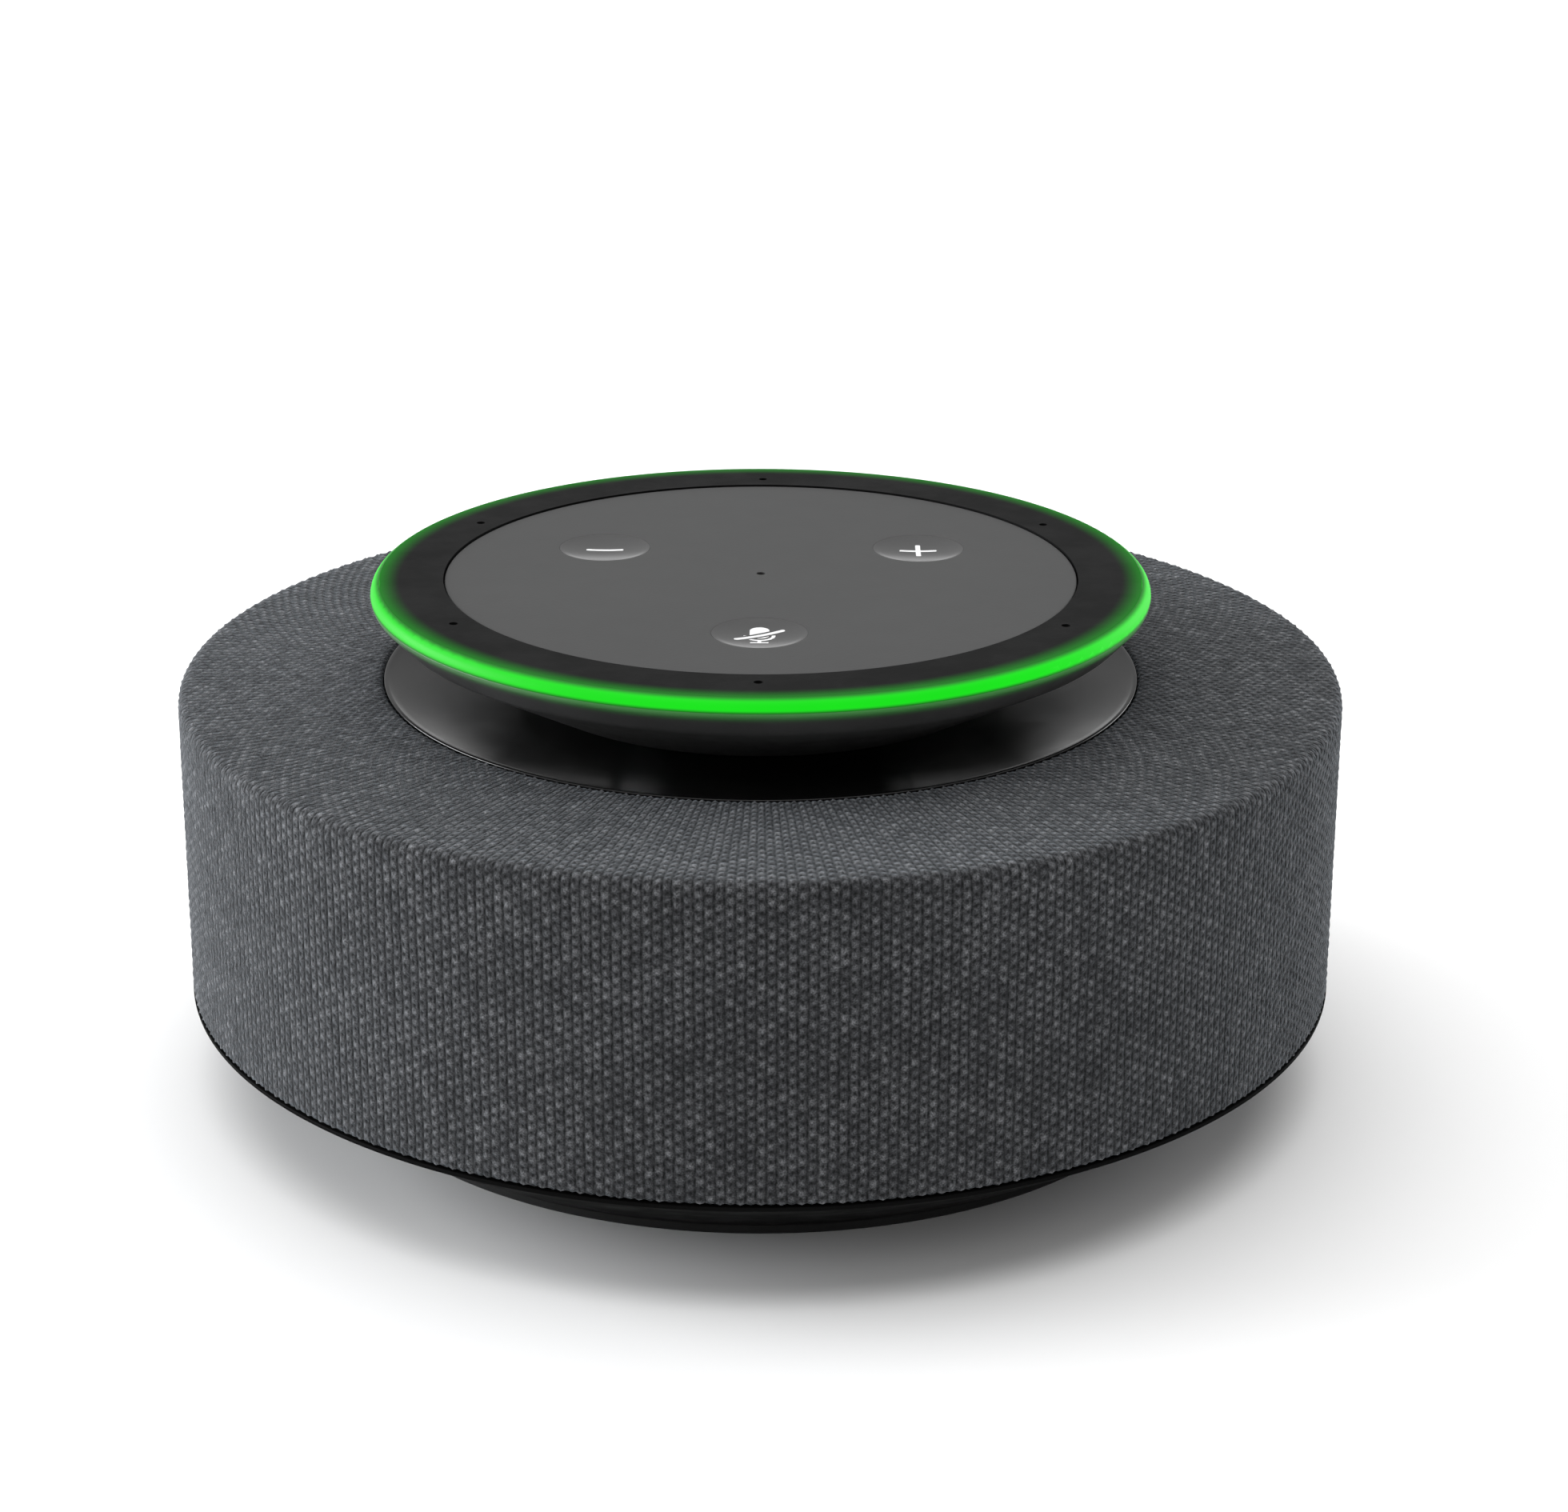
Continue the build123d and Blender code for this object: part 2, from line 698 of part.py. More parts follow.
head_socket_h, io_socket_h, lead_socket_h = 2.0, 1.6, 1.4
head_flex_y = 7.0
io_socket_y, io_flex_y = 38.0, 61.0
with BuildPart() as board_connectors:
    with BuildSketch(Plane.XY.offset(board_top)):
        with Locations((0, head_flex_y)):
            Rectangle(13, 5)
    extrude(amount=head_socket_h)
    with BuildSketch(Plane.XY.offset(board_top)):
        with Locations((0, io_socket_y)):
            Rectangle(12, 4)
    extrude(amount=io_socket_h)
    with BuildSketch(Plane.XY.offset(board_low)):
        with Locations((lead_x, 0)):
            Rectangle(6, 10)
    extrude(amount=-lead_socket_h)
    with BuildSketch(Plane.XY.offset(io_top)):
        with Locations((0, io_flex_y)):
            Rectangle(12, 2.8)
    extrude(amount=io_socket_h)
    with BuildSketch(Plane.XY.offset(mic_board_low)):
        with Locations((0, head_flex_y)):
            Rectangle(13, 5)
    extrude(amount=-1.4)
board_connectors.part.label = "board_connectors"
export_step(board_connectors.part, "parts/board_connectors.step")

flex_t = 0.3
io_flex_high = board_top + 0.8
with BuildPart() as io_flex:
    with BuildSketch(Plane.YZ.offset(-5)):
        with BuildLine() as io_path:
            FilletPolyline(
                (io_flex_y, io_top + io_socket_h),
                (io_flex_y, io_flex_high),
                (io_socket_y + 2, io_flex_high),
                radius=3,
            )
        trace(line_width=flex_t)
    extrude(amount=10)
io_flex.part.label = "io_flex"
export_step(io_flex.part, "parts/io_flex.step")

with BuildPart() as board_screws:
    with BuildSketch(Plane.XY.offset(board_low)):
        with PolarLocations(board_screw_r, 4, 45):
            Circle(1.9)
    extrude(amount=-1.3)
    with BuildSketch(Plane.XY.offset(board_low)):
        with PolarLocations(board_screw_r, 4, 45):
            Circle(0.8)
    extrude(amount=4.6)
board_screws.part.label = "board_screws"
export_step(board_screws.part, "parts/board_screws.step")

# ================================================================ dish and neck
dish_slope_r = 51.5
boss_r = 2.6
with BuildPart() as acoustic_dish:
    with BuildSketch(Plane.XZ):
        with BuildLine():
            Line((dish_neck_r, dish_floor - dish_t), (dish_neck_r, dish_floor))
            Line((dish_neck_r, dish_floor), (dish_flat_r, dish_floor))
            TangentArc((dish_flat_r, dish_floor), (dish_slope_r, dish_top), tangent=(1, 0))
            Polyline(
                (dish_slope_r, dish_top),
                (dish_r, dish_top),
                (dish_r, seat_top + 0.05),
                (47.3, seat_top + 0.05),
                (47.3, 53.7),
            )
            TangentArc((dish_flat_r, dish_floor - dish_t), (47.3, 53.7), tangent=(1, 0))
            Line((dish_flat_r, dish_floor - dish_t), (dish_neck_r, dish_floor - dish_t))
        make_face()
    revolve(axis=Axis.Z)
    # Four bosses for the main board.
    with BuildSketch(Plane.XY.offset(board_top)):
        with PolarLocations(board_screw_r, 4, 45):
            Circle(boss_r)
    extrude(amount=53.6 - board_top)
    with BuildSketch(Plane.XY.offset(board_top)):
        with PolarLocations(board_screw_r, 4, 45):
            Circle(0.85)
    extrude(amount=4, mode=Mode.SUBTRACT)
    with BuildSketch(Plane.XY.offset(dish_floor - dish_t)):
        with PolarLocations(neck_screw_r, 4, 45):
            Circle(0.95)
    extrude(amount=1.5, mode=Mode.SUBTRACT)
    # Six snap hooks that grip the shell's seat.
    for hook_angle in range(15, 375, 60):
        with BuildSketch(Plane.XZ.rotated((0, 0, hook_angle)).offset(-3)):
            Polygon(
                (45.8, 53.7),
                (45.8, 50.8),
                (47.3, 50.8),
                (48.8, 52.4),
                (48.8, 53.3),
                (47.3, 53.3),
                (47.3, 53.7),
                align=None,
            )
    extrude(amount=6)
acoustic_dish.part.label = "acoustic_dish"
export_step(acoustic_dish.part, "parts/acoustic_dish.step")

neck_low = 50.0
neck_top = 60.5
with BuildPart() as neck:
    with BuildSketch(Plane.XZ):
        Polygon(
            (neck_bore_r, neck_low),
            (neck_flange_r, neck_low),
            (neck_flange_r, dish_floor - dish_t),
            (neck_r, dish_floor - dish_t),
            (neck_r, hub_z),
            (neck_thread_r, hub_z),
            (neck_thread_r, neck_top),
            (neck_bore_r, neck_top),
            align=None,
        )
    revolve(axis=Axis.Z)
    with BuildSketch(Plane.XY.offset(neck_low)):
        with PolarLocations(neck_screw_r, 4, 45):
            Circle(1.05)
    extrude(amount=dish_floor - dish_t - neck_low, mode=Mode.SUBTRACT)
neck.part.label = "neck"
export_step(neck.part, "parts/neck.step")

with BuildPart() as neck_screws:
    with BuildSketch(Plane.XY.offset(neck_low)):
        with PolarLocations(neck_screw_r, 4, 45):
            Circle(1.9)
    extrude(amount=-1.3)
    with BuildSketch(Plane.XY.offset(neck_low)):
        with PolarLocations(neck_screw_r, 4, 45):
            Circle(0.9)
    extrude(amount=3.0)
neck_screws.part.label = "neck_screws"
export_step(neck_screws.part, "parts/neck_screws.step")

with BuildPart() as neck_nut:
    with BuildSketch(Plane.XY.offset(hub_z + hub_t)):
        Circle(21)
        Circle(neck_thread_r + 0.1, mode=Mode.SUBTRACT)
        with PolarLocations(21, 6):
            Rectangle(3, 4, mode=Mode.SUBTRACT)
    extrude(amount=2.6)
neck_nut.part.label = "neck_nut"
export_step(neck_nut.part, "parts/neck_nut.step")

with BuildPart() as head_flex:
    with BuildSketch(Plane.XY.offset(board_top + head_socket_h)):
        with Locations((0, head_flex_y)):
            Rectangle(11, flex_t)
    extrude(amount=mic_board_low - 1.4 - board_top - head_socket_h)
head_flex.part.label = "head_flex"
export_step(head_flex.part, "parts/head_flex.step")

# ================================================================ control disc
pillar_low, pillar_top = 57.0, 68.15
with BuildPart() as head_lower_shell:
    # Flat hub, conical bowl, crease and upper band.
    with BuildSketch(Plane.XZ):
        Polygon(
            (neck_thread_r + 0.2, hub_z),
            (hub_r, hub_z),
            (crease_r, crease_z),
            (glow_r - 0.15, glow_low_z - 0.65),
            (glow_r - 0.05, glow_low_z),
            (51.6, glow_low_z),
            (51.6, 68.5),
            (49.0, 65.7),
            (hub_r - 0.5, hub_z + hub_t),
            (neck_thread_r + 0.2, hub_z + hub_t),
            align=None,
        )
    revolve(axis=Axis.Z)
    # Six pillars: a wide shoulder under the board and a thin top above it.
    with BuildSketch(Plane.XY.offset(pillar_low)):
        with PolarLocations(head_screw_r, 6):
            Circle(3.6)
    extrude(amount=mic_board_low - pillar_low)
    with BuildSketch(Plane.XY.offset(pillar_low)):
        with PolarLocations(head_screw_r, 6):
            Circle(2.6)
    extrude(amount=pillar_top - pillar_low)
    with BuildSketch(Plane.XZ):
        Polygon(
            (hub_r, hub_z),
            (crease_r, crease_z),
            (60, crease_z),
            (60, 50),
            (hub_r, 50),
            align=None,
        )
    revolve(axis=Axis.Z, mode=Mode.SUBTRACT)
    with BuildSketch(Plane.XY.offset(pillar_top)):
        with PolarLocations(head_screw_r, 6):
            Circle(0.85)
    extrude(amount=-5.5, mode=Mode.SUBTRACT)
head_lower_shell.part.label = "head_lower_shell"
export_step(head_lower_shell.part, "parts/head_lower_shell.step")

with BuildPart() as mic_board:
    with BuildSketch(Plane.XY.offset(mic_board_low)):
        Circle(mic_board_r)
        with PolarLocations(head_screw_r, 6):
            Circle(2.9, mode=Mode.SUBTRACT)
        with PolarLocations(mic_r, 6, mic_start):
            Circle(0.4, mode=Mode.SUBTRACT)
        Circle(0.4, mode=Mode.SUBTRACT)
    extrude(amount=mic_board_t)
mic_board.part.label = "mic_board"
export_step(mic_board.part, "parts/mic_board.step")

with BuildPart() as mic_capsules:
    with BuildSketch(Plane.XY.offset(mic_board_low)):
        with PolarLocations(mic_r - 0.7, 6, mic_start):
            Rectangle(2.7, 3.6)
        Rectangle(3.6, 2.7)
    extrude(amount=-1.0)
mic_capsules.part.label = "mic_capsules"
export_step(mic_capsules.part, "parts/mic_capsules.step")

bezel_low = 69.0
with BuildPart() as mic_gaskets:
    with BuildSketch(Plane.XY.offset(mic_board_top)):
        with PolarLocations(mic_r, 6, mic_start):
            Circle(1.4)
            Circle(0.55, mode=Mode.SUBTRACT)
    extrude(amount=bezel_low - mic_board_top)
    with BuildSketch(Plane.XY.offset(mic_board_top)):
        Circle(1.4)
        Circle(0.55, mode=Mode.SUBTRACT)
    extrude(amount=plate_low - mic_board_top)
mic_gaskets.part.label = "mic_gaskets"
export_step(mic_gaskets.part, "parts/mic_gaskets.step")

with BuildPart() as status_leds:
    with BuildSketch(Plane.XY.offset(mic_board_top)):
        with PolarLocations(47.5, led_count, 180 / led_count):
            Rectangle(1.1, 2.0)
    extrude(amount=0.9)
status_leds.part.label = "status_leds"
export_step(status_leds.part, "parts/status_leds.step")

switch_h, dome_h = 0.7, 0.15
with BuildPart() as key_switches:
    for name in key_spots:
        with BuildSketch(key_plane(name, mic_board_top)):
            Rectangle(4.5, 4.5)
    extrude(amount=switch_h)
    for name in key_spots:
        with BuildSketch(key_plane(name, mic_board_top + switch_h)):
            Circle(1.2)
    extrude(amount=dome_h)
key_switches.part.label = "key_switches"
export_step(key_switches.part, "parts/key_switches.step")

with BuildPart() as light_reflector:
    with BuildSketch(Plane.XY.offset(mic_board_top)):
        Circle(50.0)
        Circle(48.3, mode=Mode.SUBTRACT)
    extrude(amount=0.15)
light_reflector.part.label = "light_reflector"
export_step(light_reflector.part, "parts/light_reflector.step")

# Clear ring: the lit bead round the disc, and a web that takes light from the
# lamps inside. The bead is a rounded bevel between the bezel and the shell.
bead_lift = 0.25
bezel_lip_low = 70.1
with BuildPart() as light_ring:
    with BuildSketch(Plane.XZ):
        with BuildLine():
            Polyline(
                (glow_in_r, head_top),
                (glow_in_r, bezel_lip_low - 0.05),
                (51.0, bezel_lip_low - 0.05),
                (51.0, 69.05),
                (50.4, 68.6),
                (48.35, 68.6),
                (48.35, mic_board_top + 0.2),
                (50.15, mic_board_top + 0.2),
                (51.5, 68.55),
                (51.5, glow_low_z),
                (glow_r, glow_low_z),
            )
            ThreePointArc(
                (glow_r, glow_low_z),
                ((glow_r + glow_in_r) / 2 + bead_lift, (glow_low_z + head_top) / 2 + bead_lift),
                (glow_in_r, head_top),
            )
        make_face()
    revolve(axis=Axis.Z)
light_ring.part.label = "light_ring"
export_step(light_ring.part, "parts/light_ring.step")

with BuildPart() as bezel_ring:
    # Dark ring with a ledge that the plate is bonded to.
    with BuildSketch(Plane.XZ):
        Polygon(
            (37.6, 68.2),
            (44.2, 68.2),
            (44.2, bezel_low),
            (50.9, bezel_low),
            (50.9, bezel_lip_low),
            (glow_in_r - 0.05, bezel_lip_low),
            (glow_in_r - 0.05, head_top),
            (bezel_in_r, head_top),
            (bezel_in_r, plate_low),
            (37.6, plate_low),
            align=None,
        )
    revolve(axis=Axis.Z)
    with BuildSketch(Plane.XY.offset(bezel_low)):
        with PolarLocations(mic_r, 6, mic_start):
            Circle(mic_hole_r)
    extrude(amount=head_top - bezel_low, mode=Mode.SUBTRACT)
    with Locations(Plane.XY.offset(plate_low)):
        with PolarLocations(head_screw_r, 6):
            CounterSinkHole(radius=1.0, counter_sink_radius=1.95, depth=3)
bezel_ring.part.label = "bezel_ring"
export_step(bezel_ring.part, "parts/bezel_ring.step")

with BuildPart() as head_screw:
    with BuildSketch(Plane.XZ):
        Polygon(
            (0, plate_low - 0.05),
            (1.75, plate_low - 0.05),
            (0.8, plate_low - 1.0),
            (0.8, 63.0),
            (0, 63.0),
            align=None,
        )
    revolve(axis=Axis.Z)
with BuildPart() as head_screws:
    with PolarLocations(head_screw_r, 6):
        add(head_screw.part)
head_screws.part.label = "head_screws"
export_step(head_screws.part, "parts/head_screws.step")

with BuildPart() as top_plate:
    with BuildSketch(Plane.XY.offset(plate_low)):
        Circle(plate_r)
        Circle(mic_hole_r, mode=Mode.SUBTRACT)
        with Locations(*[key_plane(name, 0).origin for name in key_spots]):
            Circle(key_r + key_gap, mode=Mode.SUBTRACT)
    extrude(amount=plate_t)
    top_circles = top_plate.edges().filter_by(GeomType.CIRCLE).group_by(Axis.Z)[-1]
    chamfer(top_circles.sort_by(SortBy.RADIUS)[-1], 0.15)
top_plate.part.label = "top_plate"
export_step(top_plate.part, "parts/top_plate.step")

# ================================================================ keys
# Each key is a round cap with a finger dish, a flange that stops under the
# plate and a short post over its switch. The white sign is a separate inlay.
flange_top = plate_low - 0.05
flange_bottom = flange_top - 0.7
post_bottom = 68.25
inlay_low = plate_top - 1.3
keys = {}
for name in key_spots:
    with BuildPart() as key:
        with BuildSketch(key_plane(name, flange_bottom)):
            Circle(key_flange_r)
        extrude(amount=flange_top - flange_bottom)
        with BuildSketch(key_plane(name, flange_bottom)):
            Circle(key_r)
        extrude(amount=plate_top - flange_bottom)
        with BuildSketch(key_plane(name, flange_bottom)):
            Circle(1.6)
        extrude(amount=post_bottom - flange_bottom)
        with Locations(key_plane(name, plate_top - key_dish + key_ball_r).location):
            Sphere(key_ball_r, mode=Mode.SUBTRACT)
    keys[name] = key.part

with BuildSketch(key_plane("down", inlay_low)) as minus_sign:
    RectangleRounded(icon_span, icon_stroke, icon_stroke / 3)

with BuildSketch(key_plane("up", inlay_low)) as plus_sign:
    RectangleRounded(icon_span, icon_stroke, icon_stroke / 3)
    RectangleRounded(icon_stroke, icon_span, icon_stroke / 3)

# Microphone with a stroke through it: capsule, cradle, stand, and a gap that
# keeps the stroke apart from the capsule.
capsule_w, capsule_h = 2.6, 4.4
cradle_r = 2.1
with BuildSketch(key_plane("mute", inlay_low)) as mute_sign:
    with Locations((0, -0.2)):
        Circle(cradle_r)
        Circle(cradle_r - icon_stroke * 0.7, mode=Mode.SUBTRACT)
    with Locations((0, 2.0)):
        Rectangle(2 * cradle_r, 4.0, mode=Mode.SUBTRACT)
    with Locations((0, 1.0)):
        SlotOverall(capsule_h, capsule_w, rotation=90)
    with Locations((0, -2.7)):
        Rectangle(icon_stroke * 0.7, 1.0)
    with Locations((0, -3.2)):
        Rectangle(2.4, icon_stroke * 0.7)
    SlotOverall(9.0, 1.7, rotation=30, mode=Mode.SUBTRACT)
    SlotOverall(7.6, 0.75, rotation=30)

# Each sign is cut out of its key down to the inlay's depth.
inlays = {}
for name, sign in (("down", minus_sign), ("up", plus_sign), ("mute", mute_sign)):
    with BuildPart() as inlay:
        add(keys[name])
        extrude(sign.sketch, amount=3, mode=Mode.INTERSECT)
    with BuildPart() as key:
        add(keys[name])
        extrude(sign.sketch, amount=3, mode=Mode.SUBTRACT)
    inlays[name] = inlay.part
    keys[name] = key.part

key_names = {"down": "volume_down", "up": "volume_up", "mute": "mic_mute"}
for name, node in key_names.items():
    keys[name].label = node + "_key"
    export_step(keys[name], f"parts/{node}_key.step")
    inlays[name].label = node + "_icon"
    export_step(inlays[name], f"parts/{node}_icon.step")
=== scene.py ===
import math

import bmesh
import bpy
import numpy as np
from mathutils import Euler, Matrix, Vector
from mathutils.geometry import delaunay_2d_cdt


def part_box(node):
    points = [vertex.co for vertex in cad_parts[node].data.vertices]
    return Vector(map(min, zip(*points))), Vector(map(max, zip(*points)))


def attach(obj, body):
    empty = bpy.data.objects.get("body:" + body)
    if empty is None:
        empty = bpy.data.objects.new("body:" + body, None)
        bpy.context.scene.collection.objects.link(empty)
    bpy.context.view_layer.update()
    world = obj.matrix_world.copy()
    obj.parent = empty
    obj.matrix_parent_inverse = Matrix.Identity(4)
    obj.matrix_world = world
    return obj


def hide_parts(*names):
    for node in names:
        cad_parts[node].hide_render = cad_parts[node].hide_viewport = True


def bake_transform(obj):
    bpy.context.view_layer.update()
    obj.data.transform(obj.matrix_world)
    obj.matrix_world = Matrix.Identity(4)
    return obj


# A round smart home hub: knitted sleeve, glossy dish, control disc with a lit
# ring and three dished keys. Everything is in metres, in the frame of the CAD.

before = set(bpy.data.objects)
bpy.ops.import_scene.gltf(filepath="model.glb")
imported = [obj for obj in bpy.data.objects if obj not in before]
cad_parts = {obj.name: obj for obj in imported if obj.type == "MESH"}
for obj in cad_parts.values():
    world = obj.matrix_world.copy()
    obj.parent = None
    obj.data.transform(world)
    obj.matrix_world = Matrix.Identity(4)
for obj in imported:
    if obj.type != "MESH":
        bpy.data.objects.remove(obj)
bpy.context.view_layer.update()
MM = 0.001
rng = np.random.default_rng(7)


# ------------------------------------------------------------------ sizes, from the CAD
def radius(node):
    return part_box(node)[1].x


def top(node):
    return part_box(node)[1].z


def foot(node):
    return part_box(node)[0].z


body_r, body_top, hem = radius("fabric_sleeve"), top("fabric_sleeve"), foot("fabric_sleeve")
dish_r, dish_top = radius("acoustic_dish"), top("acoustic_dish")
head_top, glow_r = top("light_ring"), radius("light_ring")
plate_r, plate_top = radius("top_plate"), top("top_plate")
hub_low, bowl_top = foot("head_lower_shell"), top("head_lower_shell")
glow_z, glow_inset = (head_top + bowl_top) / 2, 0.6 * MM


# ------------------------------------------------------------------ node graphs
class Graph:
    """A material and the few node calls that the finishes are made from."""

    def __init__(self, name):
        self.mat = bpy.data.materials.new(name)
        self.mat.use_nodes = True
        self.tree = self.mat.node_tree
        self.shader = self.tree.nodes["Principled BSDF"]
        self.place = self.node("ShaderNodeTexCoord").outputs["Object"]

    def node(self, kind, values=None, **settings):
        made = self.tree.nodes.new(kind)
        for key, value in settings.items():
            setattr(made, key, value)
        for key, value in (values or {}).items():
            self.put(made.inputs[key], value)
        return made

    def put(self, socket, value):
        if isinstance(value, bpy.types.NodeSocket):
            self.tree.links.new(value, socket)
        elif hasattr(value, "__len__"):
            socket.default_value = value[: len(socket.default_value)]
        else:
            socket.default_value = value

    def set(self, **values):
        """Sets sockets of the shader: Base_Color is its Base Color."""
        for key, value in values.items():
            self.put(self.shader.inputs[key.replace("_", " ")], value)
        return self

    def math(self, operation, *values):
        made = self.node("ShaderNodeMath", operation=operation)
        for socket, value in zip(made.inputs, values):
            self.put(socket, value)
        return made.outputs[0]

    def split(self, vector):
        made = self.node("ShaderNodeSeparateXYZ", {"Vector": vector})
        return made.outputs

    def join(self, x=0.0, y=0.0, z=0.0):
        return self.node("ShaderNodeCombineXYZ", {"X": x, "Y": y, "Z": z}).outputs[0]

    def ramp(self, value, start, end, low=0.0, high=1.0, smooth=True):
        kind = "SMOOTHSTEP" if smooth else "LINEAR"
        made = self.node(
            "ShaderNodeMapRange",
            {"Value": value, "From Min": start, "From Max": end, "To Min": low, "To Max": high},
            interpolation_type=kind,
        )
        return made.outputs["Result"]

    def noise(self, scale, detail=2.0, vector=None):
        values = {"Scale": scale, "Detail": detail}
        values["Vector"] = self.place if vector is None else vector
        return self.node("ShaderNodeTexNoise", values).outputs["Fac"]

    def speckle(self, vector):
        made = self.node("ShaderNodeTexWhiteNoise", {"Vector": vector}, noise_dimensions="3D")
        return made.outputs["Value"]

    def mix(self, share, a, b):
        made = self.node("ShaderNodeMix", data_type="RGBA")
        for index, value in ((0, share), (6, a), (7, b)):
            self.put(made.inputs[index], value)
        return made.outputs[2]

    def shade(self, colour, by):
        """The colour, made darker or lighter by a number."""
        made = self.node("ShaderNodeVectorMath", operation="SCALE")
        self.put(made.inputs[0], colour)
        self.put(made.inputs["Scale"], by)
        return made.outputs[0]

    def bump(self, height, distance, strength=1.0):
        made = self.node("ShaderNodeBump", {"Height": height, "Distance": distance})
        made.inputs["Strength"].default_value = strength
        self.put(self.shader.inputs["Normal"], made.outputs[0])
        return self


def rgb(r, g, b):
    return (r, g, b, 1.0)


def grey(value, warm=0.0):
    return rgb(value * (1 + warm), value, value * (1 - warm))


def moulded(name, colour, rough=0.45, grain=0.6 * MM, depth=0.012 * MM, uneven=0.12, **sockets):
    """Moulded or coated surface: fine grain, slight unevenness, faint handling marks."""
    g = Graph(name)
    fine = g.noise(1 / grain, 2)
    broad = g.noise(45, 3)
    g.set(
        Base_Color=g.shade(colour, g.ramp(broad, 0.3, 0.7, 1 - uneven, 1 + uneven)),
        Roughness=g.ramp(g.noise(160, 4), 0.3, 0.7, rough * (1 - uneven), rough * (1 + uneven)),
        **sockets,
    )
    return g.bump(fine, depth)


def painted_ring_glow(g, strength, start, end, power):
    """Painted glow: green emission on the plastic next to the lit ring, standing in for the ring's
    light falling on it.
    """
    x, y, z = g.split(g.place)
    out = g.math("SQRT", g.math("ADD", g.math("MULTIPLY", x, x), g.math("MULTIPLY", y, y)))
    away_r = g.math("SUBTRACT", out, glow_r - glow_inset)
    away_z = g.math("SUBTRACT", z, glow_z)
    square = g.math("ADD", g.math("MULTIPLY", away_r, away_r), g.math("MULTIPLY", away_z, away_z))
    near = g.ramp(g.math("SQRT", square), start, end, 1.0, 0.0, False)
    painted_glow = g.math("MULTIPLY", g.math("POWER", near, power), strength)
    return g.set(Emission_Color=rgb(0.012, 1.0, 0.02), Emission_Strength=painted_glow)


# ------------------------------------------------------------------ knitted cloth
WALES = 400
COURSE = 1.46 * MM
YARN_DARK, YARN_LIGHT = rgb(0.069, 0.071, 0.076), rgb(0.097, 0.099, 0.104)


